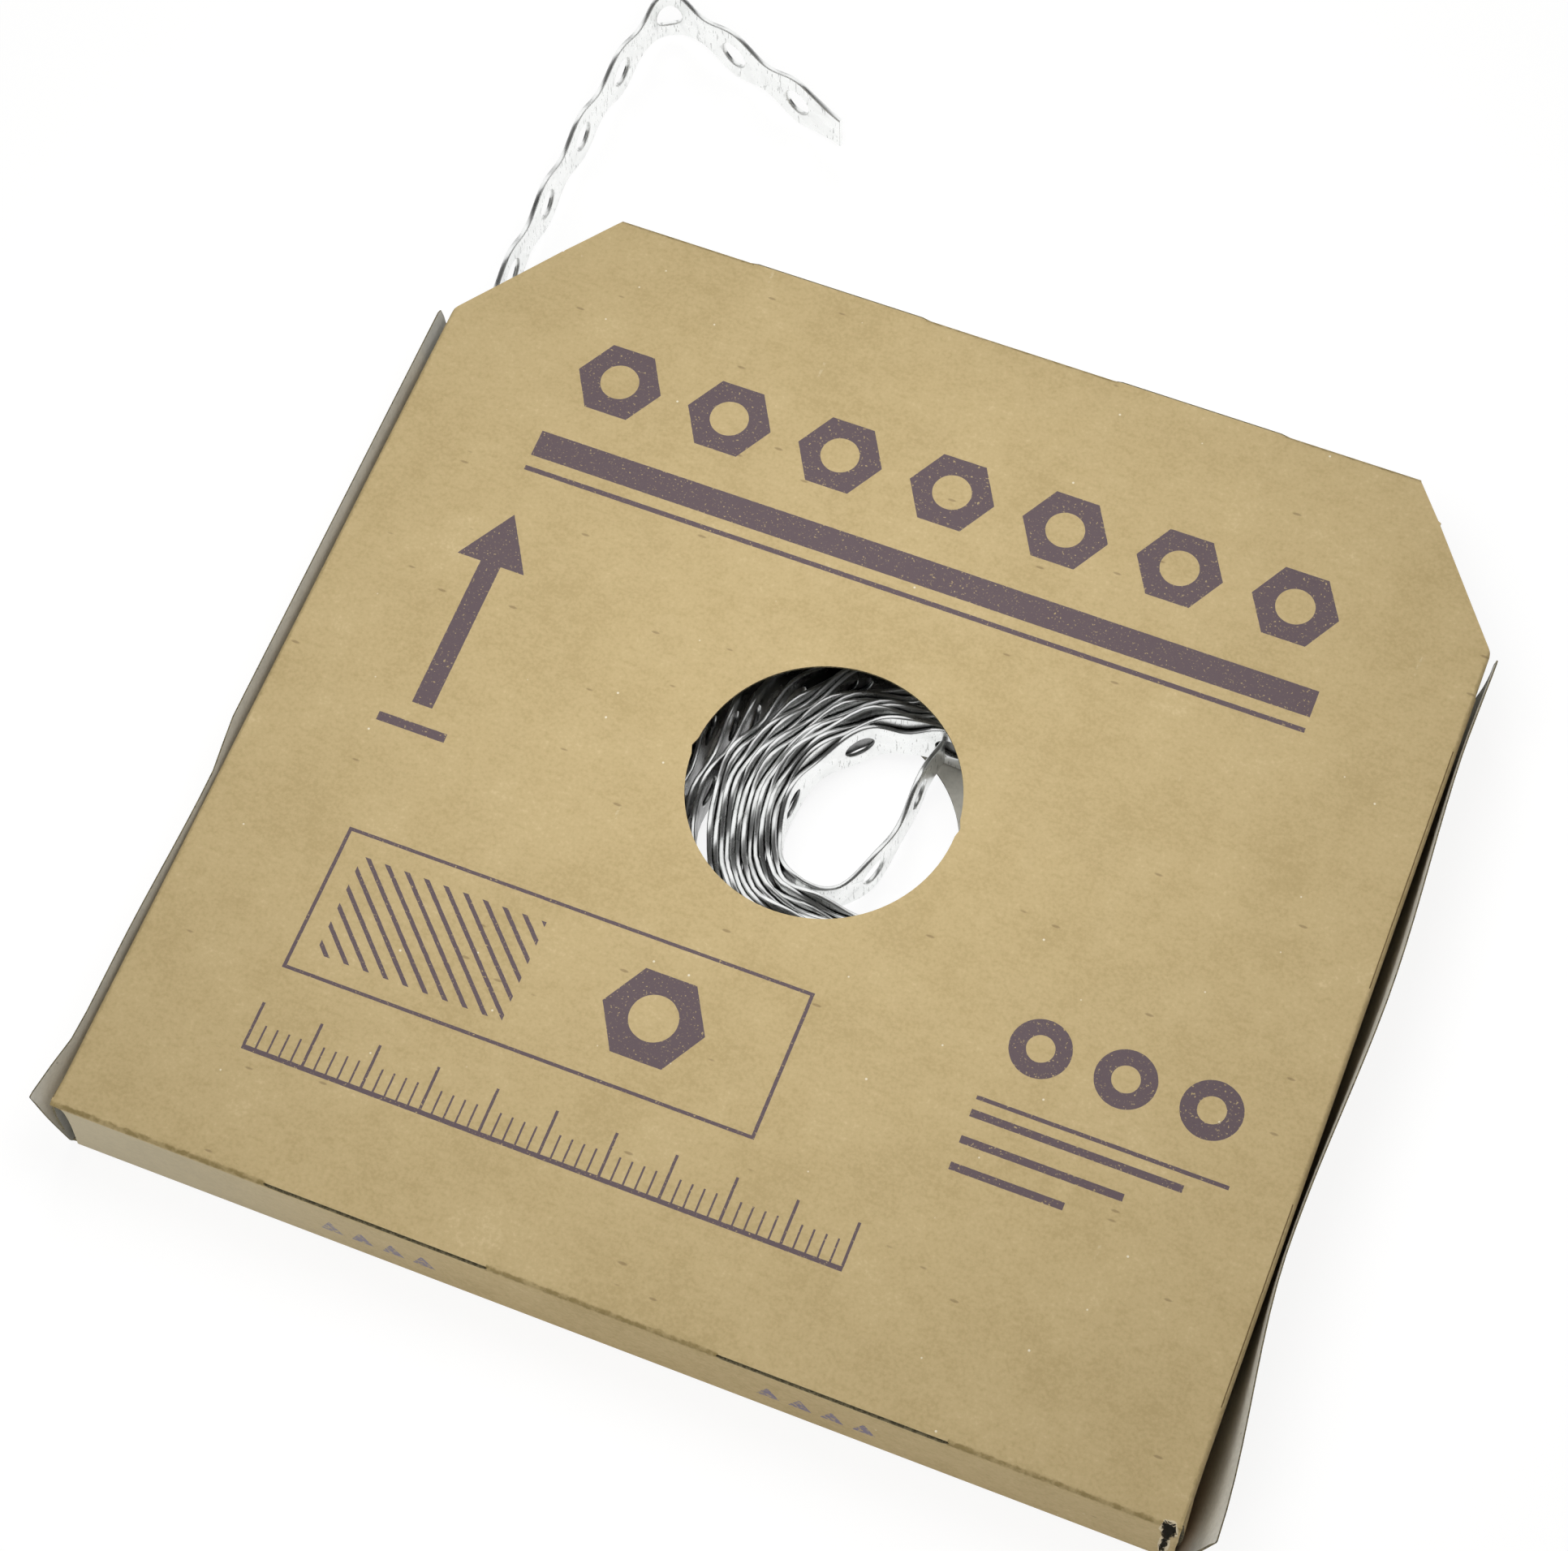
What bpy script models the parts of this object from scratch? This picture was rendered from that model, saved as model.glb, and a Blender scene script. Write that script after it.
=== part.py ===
"""Perforated steel strap, coiled loose in a flat dispenser carton. Metres, +Z up.

The carton lies on its back panel. While the pieces are built, X runs along the carton's
bottom edge and Y up its face, both from the lower left corner. At the end everything is
moved so that the origin is the middle of the ground that the whole object covers.
"""

import math

import bmesh
import bpy
from mathutils import Vector

# Strap sizes. A wave of the edge and a hole repeat every pitch.
STRAP_WIDTH = 0.012
STRAP_WAIST = 0.0082
STRAP_THICKNESS = 0.0008
HOLE_DIAMETER = 0.005
HOLE_PITCH = 0.0155

# Carton sizes, over the board
CARTON_WIDTH = 0.185
CARTON_HEIGHT = 0.1826
CARTON_DEPTH = 0.0175
BOARD = 0.0007
FOLD_RADIUS = 0.0012
CORNER_CUT_X = 0.0206
CORNER_CUT_Y = 0.0275
WINDOW_DIAMETER = 0.0448
WINDOW_HEIGHT = 0.0932

# Side flaps: the outer pair stands up from the back panel, the tucked pair hangs inside
OUTER_FLAP = 0.0170
OUTER_FLAP_START = 0.0015
TUCK_FLAP = 0.0155
TUCK_FLAP_START = 0.0080
TUCK_LEAN = 0.0016

# Slits on the folds, and the hole worn in the lower right corner
SLIT_LENGTH = 0.0365
SLIT_WIDTH = 0.0005
SLIT_SPACING = 0.0750
WORN_HOLE_WIDTH = 0.0026
WORN_HOLE_DEPTH = 0.0085

# Coil sizes and place. Its turns show on its ends as ridges, each standing for some turns.
COIL_OFFSET_X = 0.0115
COIL_OFFSET_Y = 0.0039
COIL_BORE_RADIUS = 0.0180
COIL_CLEARANCE = 0.0006
RIDGES = 12
RIDGE_HEIGHT = 0.0008

# The pulled out end: where it runs, how far it stands out and how it is bent
LANE_FROM_EDGE = 0.0031
TAIL_STRAIGHT_PAST_TOP = 0.0069
TAIL_LEAN_RADIUS = 0.290
TAIL_LEAN = math.radians(8.0)
TAIL_BEND_RADIUS = 0.0040
TAIL_BEND = math.radians(100.6)
TAIL_BACK_PITCHES = 2.5
COIL_EXIT_ANGLE = math.radians(-75.0)

# Fits and smoothness
SEAT_GAP = 0.0003
COIL_SIDES = 48
WINDOW_SIDES = 64
PATH_STEP = 0.0015
MERGE = 0.00001

HALF_PITCH = HOLE_PITCH / 2
STRAP_LEVEL = BOARD + SEAT_GAP + STRAP_WIDTH / 2
COIL_X = CARTON_WIDTH / 2 + COIL_OFFSET_X
COIL_Y = CARTON_HEIGHT / 2 + COIL_OFFSET_Y
INNER_RIGHT = CARTON_WIDTH - BOARD - TUCK_LEAN
COIL_REACH = min(INNER_RIGHT - COIL_X, COIL_Y - BOARD, CARTON_HEIGHT - BOARD - COIL_Y)
COIL_RADIUS = COIL_REACH - COIL_CLEARANCE


def clear_scene():
    for obj in list(bpy.data.objects):
        bpy.data.objects.remove(obj, do_unlink=True)


def new_collection(name):
    collection = bpy.data.collections.new(name)
    bpy.context.scene.collection.children.link(collection)
    return collection


def principled(name, color, roughness, metallic):
    material = bpy.data.materials.new(name)
    material.use_nodes = True
    shader = material.node_tree.nodes["Principled BSDF"]
    shader.inputs["Base Color"].default_value = (*color, 1.0)
    shader.inputs["Roughness"].default_value = roughness
    shader.inputs["Metallic"].default_value = metallic
    return material


def object_from_bmesh(name, bm, collection):
    mesh = bpy.data.meshes.new(name)
    bm.to_mesh(mesh)
    bm.free()
    obj = bpy.data.objects.new(name, mesh)
    collection.objects.link(obj)
    return obj


def as_cutter(obj):
    """A guide or cutter: hidden in renders and drawn as a wire."""
    obj.hide_render = True
    obj.display_type = "WIRE"
    return obj


def prism(name, outline, low, high, collection):
    """An upright block over a flat outline, between two levels."""
    curve = bpy.data.curves.new(name, "CURVE")
    curve.dimensions = "2D"
    curve.fill_mode = "BOTH"
    curve.extrude = (high - low) / 2
    spline = curve.splines.new("POLY")
    spline.points.add(len(outline) - 1)
    for point, (x, y) in zip(spline.points, outline):
        point.co = (x, y, 0.0, 1.0)
    spline.use_cyclic_u = True
    flat = bpy.data.objects.new(name + "_outline", curve)
    collection.objects.link(flat)
    flat.location.z = (low + high) / 2
    bpy.context.view_layer.update()
    graph = bpy.context.evaluated_depsgraph_get()
    mesh = bpy.data.meshes.new_from_object(flat.evaluated_get(graph))
    bm = bmesh.new()
    bm.from_mesh(mesh)
    bmesh.ops.remove_doubles(bm, verts=bm.verts, dist=MERGE)
    bmesh.ops.recalc_face_normals(bm, faces=bm.faces)
    bm.to_mesh(mesh)
    bm.free()
    block = bpy.data.objects.new(name, mesh)
    block.matrix_world = flat.matrix_world
    collection.objects.link(block)
    bpy.data.objects.remove(flat, do_unlink=True)
    return as_cutter(block)


def box_outline(x0, y0, x1, y1):
    return [(x0, y0), (x1, y0), (x1, y1), (x0, y1)]


def boolean(obj, other, operation):
    modifier = obj.modifiers.new(other.name, "BOOLEAN")
    modifier.operation = operation
    modifier.solver = "EXACT"
    modifier.object = other


# Folded carton: one blank of board, from a single skin that is then given its thickness


def smooth_rise(value):
    """Goes smoothly from 0 to 1 as the value does, and stays level outside."""
    t = min(max(value, 0.0), 1.0)
    return t * t * (3.0 - 2.0 * t)


def left_splay(y):
    """How far the left outer flap's free edge has sprung out, at a height up the face."""
    least = BOARD + SEAT_GAP
    above = 0.0013 * smooth_rise((y - 0.060) / 0.012)
    below = 0.0007 * smooth_rise((0.058 - y) / 0.030)
    corner = 0.0022 * smooth_rise((0.014 - y) / 0.014)
    return least + above + below + corner


def right_splay(y):
    """The same for the right outer flap, which bulges in the middle and opens at its foot."""
    least = BOARD + SEAT_GAP
    bulge = 0.0018 * smooth_rise(1.0 - abs(y - 0.094) / 0.045)
    foot = 0.0044 * smooth_rise((0.048 - y) / 0.048)
    top = 0.0004 * smooth_rise((y - 0.138) / 0.017)
    return least + bulge + foot + top


def sleeve_section():
    """Points (y, z) once round the sleeve, seen from its side, with round folds."""
    stations = 22
    fold_steps = 3
    corners = [
        (FOLD_RADIUS, FOLD_RADIUS, 180.0),
        (CARTON_HEIGHT - FOLD_RADIUS, FOLD_RADIUS, 270.0),
        (CARTON_HEIGHT - FOLD_RADIUS, CARTON_DEPTH - FOLD_RADIUS, 0.0),
        (FOLD_RADIUS, CARTON_DEPTH - FOLD_RADIUS, 90.0),
    ]
    panel_heights = [OUTER_FLAP_START + (flap_top() - OUTER_FLAP_START) * i / stations
                     for i in range(stations + 1)]
    points = []
    for number, (cy, cz, start) in enumerate(corners):
        for step in range(fold_steps + 1):
            angle = math.radians(start + 90.0 * step / fold_steps)
            points.append((cy + FOLD_RADIUS * math.cos(angle), cz + FOLD_RADIUS * math.sin(angle)))
        if number == 0:
            points += [(y, 0.0) for y in panel_heights]
        if number == 2:
            points += [(y, CARTON_DEPTH) for y in reversed(panel_heights)]
    return points


def flap_top():
    """The outer flaps end where the corner cuts begin."""
    return CARTON_HEIGHT - CORNER_CUT_Y - SEAT_GAP


def grow_flap(bm, edge_x, panel_z, low, high, place):
    """Adds a flap on a panel's side edge, in rows. place gives a row's x and z at a height y."""
    rows = 3
    level = [v for v in bm.verts if abs(v.co.x - edge_x) < MERGE and abs(v.co.z - panel_z) < MERGE]
    hinge = {v for v in level if low - MERGE < v.co.y < high + MERGE}
    edges = [e for e in bm.edges if e.is_boundary and e.verts[0] in hinge and e.verts[1] in hinge]
    for row in range(1, rows + 1):
        grown = bmesh.ops.extrude_edge_only(bm, edges=edges)["geom"]
        edges = [g for g in grown if isinstance(g, bmesh.types.BMEdge)]
        for vert in [g for g in grown if isinstance(g, bmesh.types.BMVert)]:
            vert.co.x, vert.co.z = place(vert.co.y, row / rows)


def outer_flap_place(edge_x, side, splay):
    def place(y, share):
        turn = math.asin(splay(y) / OUTER_FLAP)
        reach = OUTER_FLAP * share
        return edge_x + side * reach * math.sin(turn), reach * math.cos(turn)
    return place


def tuck_flap_place(edge_x, side):
    def place(y, share):
        turn = math.asin(TUCK_LEAN / TUCK_FLAP)
        reach = TUCK_FLAP * share
        return edge_x - side * reach * math.sin(turn), CARTON_DEPTH - reach * math.cos(turn)
    return place


def make_carton(parts, cutters):
    bm = bmesh.new()
    ring = [bm.verts.new((0.0, y, z)) for y, z in sleeve_section()]
    loop = [bm.edges.new((ring[i], ring[(i + 1) % len(ring)])) for i in range(len(ring))]
    grown = bmesh.ops.extrude_edge_only(bm, edges=loop)["geom"]
    far_side = [g for g in grown if isinstance(g, bmesh.types.BMVert)]
    bmesh.ops.translate(bm, verts=far_side, vec=(CARTON_WIDTH, 0.0, 0.0))
    bmesh.ops.remove_doubles(bm, verts=bm.verts, dist=MERGE)
    for edge_x, side, splay in ((0.0, -1, left_splay), (CARTON_WIDTH, 1, right_splay)):
        grow_flap(bm, edge_x, 0.0, OUTER_FLAP_START, flap_top(), outer_flap_place(edge_x, side, splay))
        tuck_top = flap_top() - TUCK_FLAP_START
        grow_flap(bm, edge_x, CARTON_DEPTH, TUCK_FLAP_START, tuck_top, tuck_flap_place(edge_x, side))
    bmesh.ops.recalc_face_normals(bm, faces=bm.faces)
    front = max(bm.faces, key=lambda face: face.calc_center_median().z)
    if front.normal.z < 0.0:
        bmesh.ops.reverse_faces(bm, faces=bm.faces)
    carton = object_from_bmesh("carton", bm, parts)
    wall = carton.modifiers.new("board", "SOLIDIFY")
    wall.thickness = BOARD
    wall.offset = -1.0
    wall.use_even_offset = True
    for cutter in carton_cutters(cutters):
        boolean(carton, cutter, "DIFFERENCE")
    return carton


def carton_cutters(cutters):
    """Blocks that take away the cut corners, the windows, the slits and the worn hole."""
    past = CARTON_DEPTH
    low = -past
    high = CARTON_DEPTH + past
    top = CARTON_HEIGHT + past
    left_cut = [(-past, CARTON_HEIGHT - CORNER_CUT_Y), (0.0, CARTON_HEIGHT - CORNER_CUT_Y),
                (CORNER_CUT_X, CARTON_HEIGHT), (CORNER_CUT_X, top), (-past, top)]
    right_cut = [(CARTON_WIDTH - x, y) for x, y in reversed(left_cut)]
    made = [prism("left_corner_cut", left_cut, low, high, cutters)]
    made.append(prism("right_corner_cut", right_cut, low, high, cutters))

    bpy.ops.mesh.primitive_cylinder_add(
        vertices=WINDOW_SIDES, radius=WINDOW_DIAMETER / 2, depth=high - low,
        location=(CARTON_WIDTH / 2, WINDOW_HEIGHT, (low + high) / 2))
    window = bpy.context.active_object
    window.name = "window_cut"
    for collection in list(window.users_collection):
        collection.objects.unlink(window)
    cutters.objects.link(window)
    made.append(as_cutter(window))

    through_front = CARTON_DEPTH - FOLD_RADIUS
    for side in (-1, 1):
        middle = CARTON_WIDTH / 2 + side * SLIT_SPACING / 2
        for end, y in (("foot", FOLD_RADIUS), ("head", CARTON_HEIGHT - FOLD_RADIUS - SLIT_WIDTH)):
            name = "slit_{}_{}".format(end, "left" if side < 0 else "right")
            outline = box_outline(middle - SLIT_LENGTH / 2, y, middle + SLIT_LENGTH / 2, y + SLIT_WIDTH)
            made.append(prism(name, outline, through_front, high, cutters))

    x1 = CARTON_WIDTH - BOARD
    x0 = x1 - WORN_HOLE_WIDTH
    worn = [(x0, -BOARD), (x1, -BOARD), (x1, 1.5 * BOARD), (x0 + 0.35 * WORN_HOLE_WIDTH, 2.5 * BOARD)]
    made.append(prism("worn_hole", worn, CARTON_DEPTH - WORN_HOLE_DEPTH, high, cutters))
    return made


# Strap: a turned coil, and perforated lengths of strip that grow out of it


def half_width(x):
    """Half the strap's width at a distance from a hole's centre."""
    mean = (STRAP_WIDTH + STRAP_WAIST) / 4
    swing = (STRAP_WIDTH - STRAP_WAIST) / 4
    return mean + swing * math.cos(2.0 * math.pi * x / HOLE_PITCH)


def strap_cell():
    """One pitch of strap as a skin in the XZ plane: a ring of faces from the hole to the edge."""
    quarter = [(1.0, 0.0), (1.0, 1.0), (0.60, 1.0), (0.28, 1.0), (0.0, 1.0)]
    spokes = 4 * (len(quarter) - 1)
    bm = bmesh.new()
    hole = []
    rim = []
    for i in range(spokes):
        angle = 2.0 * math.pi * i / spokes
        step = i % 8
        along, across = quarter[min(step, 8 - step)]
        x = math.copysign(along * HALF_PITCH, math.cos(angle))
        z = math.copysign(across * half_width(x), math.sin(angle))
        hole.append(bm.verts.new((math.cos(angle) * HOLE_DIAMETER / 2, 0.0,
                                  math.sin(angle) * HOLE_DIAMETER / 2)))
        rim.append(bm.verts.new((x, 0.0, z)))
    for i in range(spokes):
        after = (i + 1) % spokes
        bm.faces.new((hole[i], rim[i], rim[after], hole[after]))
    bmesh.ops.translate(bm, verts=bm.verts, vec=(HALF_PITCH, 0.0, 0.0))
    return bm


def route_curve(name, route, cutters):
    """A flat guide curve through the points of a route."""
    curve = bpy.data.curves.new(name, "CURVE")
    curve.dimensions = "2D"
    spline = curve.splines.new("POLY")
    spline.points.add(len(route) - 1)
    for point, place in zip(spline.points, route):
        point.co = (place.x, place.y, 0.0, 1.0)
    guide = bpy.data.objects.new(name, curve)
    cutters.objects.link(guide)
    return as_cutter(guide)


def strip_along(name, route, pitches, cutters):
    """A perforated strip standing on edge along a route, as a closed solid."""
    strip = object_from_bmesh(name, strap_cell(), cutters)
    repeat = strip.modifiers.new("pitches", "ARRAY")
    repeat.count = pitches
    repeat.use_relative_offset = False
    repeat.use_constant_offset = True
    repeat.constant_offset_displace = (HOLE_PITCH, 0.0, 0.0)
    repeat.use_merge_vertices = True
    repeat.merge_threshold = MERGE
    follow = strip.modifiers.new("route", "CURVE")
    follow.object = route_curve(name + "_route", route, cutters)
    wall = strip.modifiers.new("sheet", "SOLIDIFY")
    wall.thickness = STRAP_THICKNESS
    wall.offset = 0.0
    wall.use_even_offset = True
    strip.location.z = STRAP_LEVEL
    follow.object.location.z = STRAP_LEVEL
    return as_cutter(strip)


def route_length(route):
    return sum((b - a).length for a, b in zip(route, route[1:]))


def straight(start, heading, length):
    """Points after the start, along a straight line."""
    steps = max(1, round(length / PATH_STEP))
    return [start + heading * (length * i / steps) for i in range(1, steps + 1)]


def arc(start, heading, radius, turn):
    """Points after the start, along an arc that turns to the right by an angle."""
    centre = start + Vector((heading.y, -heading.x)) * radius
    steps = max(4, round(radius * turn / PATH_STEP))
    spoke = start - centre
    points = []
    for i in range(1, steps + 1):
        angle = -turn * i / steps
        points.append(centre + Vector((spoke.x * math.cos(angle) - spoke.y * math.sin(angle),
                                       spoke.x * math.sin(angle) + spoke.y * math.cos(angle))))
    return points


def turned(heading, turn):
    return Vector((heading.x * math.cos(turn) + heading.y * math.sin(turn),
                   heading.y * math.cos(turn) - heading.x * math.sin(turn)))


def tail_route():
    """From the coil's outside, round to the left wall, out at the cut corner and bent over.

    It is given from the free end inwards, because the free end is cut between two holes.
    """
    centre = Vector((COIL_X, COIL_Y))
    lane = COIL_X - LANE_FROM_EDGE
    start = COIL_RADIUS - STRAP_THICKNESS
    sweep = math.pi + COIL_EXIT_ANGLE
    buried = HOLE_PITCH / COIL_RADIUS
    steps = round(lane * (sweep + buried) / PATH_STEP / 2)
    route = []
    for i in range(steps + 1):
        angle = COIL_EXIT_ANGLE + buried - (sweep + buried) * i / steps
        radius = start + (lane - start) * smooth_rise((COIL_EXIT_ANGLE - angle) / sweep)
        route.append(centre + Vector((math.cos(angle), math.sin(angle))) * radius)
    heading = Vector((0.0, 1.0))
    route += straight(route[-1], heading, CARTON_HEIGHT + TAIL_STRAIGHT_PAST_TOP - COIL_Y)
    route += arc(route[-1], heading, TAIL_LEAN_RADIUS, TAIL_LEAN)
    heading = turned(heading, TAIL_LEAN)
    route += arc(route[-1], heading, TAIL_BEND_RADIUS, TAIL_BEND)
    heading = turned(heading, TAIL_BEND)
    half_bend = TAIL_BEND_RADIUS * TAIL_BEND / 2
    route += straight(route[-1], heading, TAIL_BACK_PITCHES * HOLE_PITCH - half_bend)
    return list(reversed(route))


def inner_route():
    """The innermost end: off the bore's lower left, round and up to the bore's top."""
    buried = COIL_BORE_RADIUS + STRAP_THICKNESS
    wall = [(math.cos(math.radians(a)) * buried, math.sin(math.radians(a)) * buried)
            for a in (180, 190, 200, 210, 220, 230)]
    shares = [(-0.53, -0.87), (-0.355, -0.855), (-0.19, -0.76), (-0.075, -0.58), (0.01, -0.32),
              (0.055, -0.04), (0.065, 0.28), (0.09, 0.59), (0.16, 0.85), (0.27, 1.10), (0.42, 1.35)]
    rough = wall + [(x * COIL_BORE_RADIUS, y * COIL_BORE_RADIUS) for x, y in shares]
    knots = [Vector((COIL_X + x, COIL_Y + y)) for x, y in rough]
    route = [knots[0]]
    for i in range(len(knots) - 1):
        before = knots[max(i - 1, 0)]
        a = knots[i]
        b = knots[i + 1]
        after = knots[min(i + 2, len(knots) - 1)]
        for step in range(1, 4):
            t = step / 3
            route.append(0.5 * (2 * a + (b - before) * t + (2 * before - 5 * a + 4 * b - after) * t ** 2
                                + (3 * a - before - 3 * b + after) * t ** 3))
    return route


def coil_profile():
    """The coil's section, from the top of its outside, down, in, up and back out over its top."""
    low = STRAP_LEVEL - STRAP_WIDTH / 2
    high = STRAP_LEVEL + STRAP_WIDTH / 2
    step = (COIL_RADIUS - COIL_BORE_RADIUS) / (2 * RIDGES)
    radii = [COIL_RADIUS - step * i for i in range(2 * RIDGES + 1)]
    under = [(r, low if i % 2 else low + RIDGE_HEIGHT) for i, r in enumerate(radii)]
    over = [(r, high if i % 2 else high - RIDGE_HEIGHT) for i, r in enumerate(radii)]
    return under + list(reversed(over))


def make_strap(parts, cutters):
    bm = bmesh.new()
    ring = [bm.verts.new((radius, 0.0, z)) for radius, z in coil_profile()]
    for i in range(len(ring)):
        bm.edges.new((ring[i], ring[(i + 1) % len(ring)]))
    strap = object_from_bmesh("strap", bm, parts)
    strap.location = (COIL_X, COIL_Y, 0.0)
    turn = strap.modifiers.new("turns", "SCREW")
    turn.steps = COIL_SIDES
    turn.render_steps = COIL_SIDES
    turn.use_merge_vertices = True
    turn.merge_threshold = MERGE

    tail = tail_route()
    tail_pitches = math.floor(route_length(tail) / HOLE_PITCH)
    boolean(strap, strip_along("tail_strip", tail, tail_pitches, cutters), "UNION")
    inner = inner_route()
    inner_pitches = math.floor(route_length(inner) / HOLE_PITCH)
    boolean(strap, strip_along("inner_strip", inner, inner_pitches, cutters), "UNION")
    return strap


def stand_on_origin(parts, loose):
    """Moves everything so that the origin is the middle of the ground the object covers."""
    bpy.context.view_layer.update()
    graph = bpy.context.evaluated_depsgraph_get()
    corners = []
    for obj in parts:
        solid = obj.evaluated_get(graph)
        corners += [solid.matrix_world @ Vector(corner) for corner in solid.bound_box]
    low = Vector([min(c[axis] for c in corners) for axis in range(3)])
    high = Vector([max(c[axis] for c in corners) for axis in range(3)])
    place = bpy.data.objects.new("pack_place", None)
    bpy.context.scene.collection.objects.link(place)
    for obj in list(parts) + list(loose):
        obj.parent = place
    place.location = (-(low.x + high.x) / 2, -(low.y + high.y) / 2, -low.z)


clear_scene()
part_collection = new_collection("perforated_strap_in_carton")
cutter_collection = new_collection("cutters")
kraft = principled("kraft_board", (0.46, 0.34, 0.19), 0.85, 0.0)
steel = principled("galvanised_steel", (0.62, 0.64, 0.66), 0.38, 1.0)
make_carton(part_collection, cutter_collection).data.materials.append(kraft)
make_strap(part_collection, cutter_collection).data.materials.append(steel)
stand_on_origin(part_collection.objects, cutter_collection.objects)
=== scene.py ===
"""Perforated steel strap in its dispenser carton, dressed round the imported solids.

Lengths are in metres. A place on the carton is given in millimetres from its lower left
corner, x along the bottom edge, y up the face and z up from the floor.
"""

import math

import bmesh
import bpy
import numpy as np
from mathutils import Matrix, Vector, noise


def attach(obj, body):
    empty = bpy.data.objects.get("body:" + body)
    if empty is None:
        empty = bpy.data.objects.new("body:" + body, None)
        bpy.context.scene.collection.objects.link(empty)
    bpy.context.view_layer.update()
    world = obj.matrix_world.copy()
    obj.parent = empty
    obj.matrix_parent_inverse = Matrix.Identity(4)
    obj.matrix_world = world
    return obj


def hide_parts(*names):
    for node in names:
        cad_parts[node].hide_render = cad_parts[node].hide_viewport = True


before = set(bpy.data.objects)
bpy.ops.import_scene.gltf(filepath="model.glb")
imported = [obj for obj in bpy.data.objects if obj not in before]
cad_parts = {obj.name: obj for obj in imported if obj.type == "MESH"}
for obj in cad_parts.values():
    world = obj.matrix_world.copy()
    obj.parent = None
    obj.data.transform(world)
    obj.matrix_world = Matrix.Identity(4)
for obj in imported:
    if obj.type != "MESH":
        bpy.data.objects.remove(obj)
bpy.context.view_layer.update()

# Camera, floor and light. The pack lies on a plain pale floor and is seen from above and from
# the right, with the camera turned a little. Three soft lamps light it. Its metal reflects the
# pale floor, and a white box of light that stands behind it on the left.

MM = 0.001
CARTON_CORNER = Vector((-0.0932789, -0.1168514, 0.0))
CAMERA_PLACE = Vector((189.92, -144.74, 562.93)) * MM + CARTON_CORNER
CAMERA_RIGHT = Vector((0.929939, 0.367294, -0.017582))
CAMERA_FORWARD = Vector((-0.172703, 0.394049, -0.902718))
SENSOR_WIDTH = 36.0
FOCAL_PIXELS = 4631.3
PHOTO_WIDTH = 1932.0


def link_object(name, data):
    made = bpy.data.objects.new(name, data)
    bpy.context.scene.collection.objects.link(made)
    return made


camera_data = bpy.data.cameras.new("camera")
camera_data.sensor_width = SENSOR_WIDTH
camera_data.lens = SENSOR_WIDTH * FOCAL_PIXELS / PHOTO_WIDTH
camera_data.clip_start = 0.01
camera_data.clip_end = 20.0
camera = link_object("camera", camera_data)
camera_up = CAMERA_RIGHT.cross(CAMERA_FORWARD).normalized()
camera_axes = Matrix((CAMERA_RIGHT, camera_up, -CAMERA_FORWARD)).transposed()
camera.matrix_world = Matrix.Translation(CAMERA_PLACE) @ camera_axes.to_4x4()
bpy.context.scene.camera = camera
bpy.context.scene.view_settings.view_transform = "Standard"


class Value:
    """A node's output as a number. A sum or a comparison written with it adds Math nodes."""

    def __init__(self, socket):
        self.socket = socket

    def __add__(self, other):
        return maths("ADD", self, other)

    def __sub__(self, other):
        return maths("SUBTRACT", self, other)

    def __rsub__(self, other):
        return maths("SUBTRACT", other, self)

    def __mul__(self, other):
        return maths("MULTIPLY", self, other)

    def __truediv__(self, other):
        return maths("DIVIDE", self, other)

    def __lt__(self, other):
        return maths("LESS_THAN", self, other)

    def __gt__(self, other):
        return maths("GREATER_THAN", self, other)

    def __abs__(self):
        return maths("ABSOLUTE", self)


def feed(node, key, given):
    """Gives a node's input a number, a colour, a value or another node's socket."""
    if isinstance(given, Value):
        given = given.socket
    if isinstance(given, bpy.types.NodeSocket):
        node.id_data.links.new(given, node.inputs[key])
    else:
        node.inputs[key].default_value = given


def add_node(tree, kind, inputs=(), **settings):
    """A new node with its inputs and settings."""
    made = tree.nodes.new(kind)
    for name, setting in settings.items():
        setattr(made, name, setting)
    for key, given in dict(inputs).items():
        feed(made, key, given)
    return made


def maths(operation, *values):
    tree = next(value.socket.id_data for value in values if isinstance(value, Value))
    return Value(add_node(tree, "ShaderNodeMath", enumerate(values), operation=operation).outputs[0])


def either(*masks):
    total = masks[0]
    for mask in masks[1:]:
        total = maths("MAXIMUM", total, mask)
    return total


def axes(vector):
    """The x, y and z of a vector socket."""
    parts = add_node(vector.id_data, "ShaderNodeSeparateXYZ", {0: vector})
    return [Value(socket) for socket in parts.outputs]


def ramp(value, low, high):
    """0 at low and 1 at high, smoothly, and level beyond them."""
    made = add_node(value.socket.id_data, "ShaderNodeMapRange",
                    {"Value": value, "From Min": low, "From Max": high}, interpolation_type="SMOOTHSTEP")
    return Value(made.outputs[0])


def blend(share, first, second):
    """The first colour where share is 0, and the second where it is 1."""
    mix = add_node(share.socket.id_data, "ShaderNodeMix", {0: share, 6: first, 7: second}, data_type="RGBA")
    return mix.outputs[2]


def grey(level):
    return (level, level, level, 1.0)


def seen_directly(tree):
    """1 for the rays by which the camera, a gloss or a clear piece sees the backdrop, but not
    for those that have met a matt surface on the way, which only carry light."""
    path = add_node(tree, "ShaderNodeLightPath").outputs
    seen = [Value(path[name]) for name in ("Is Camera Ray", "Is Glossy Ray", "Is Transmission Ray")]
    return either(*seen) * (Value(path["Diffuse Depth"]) < 0.5)


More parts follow.
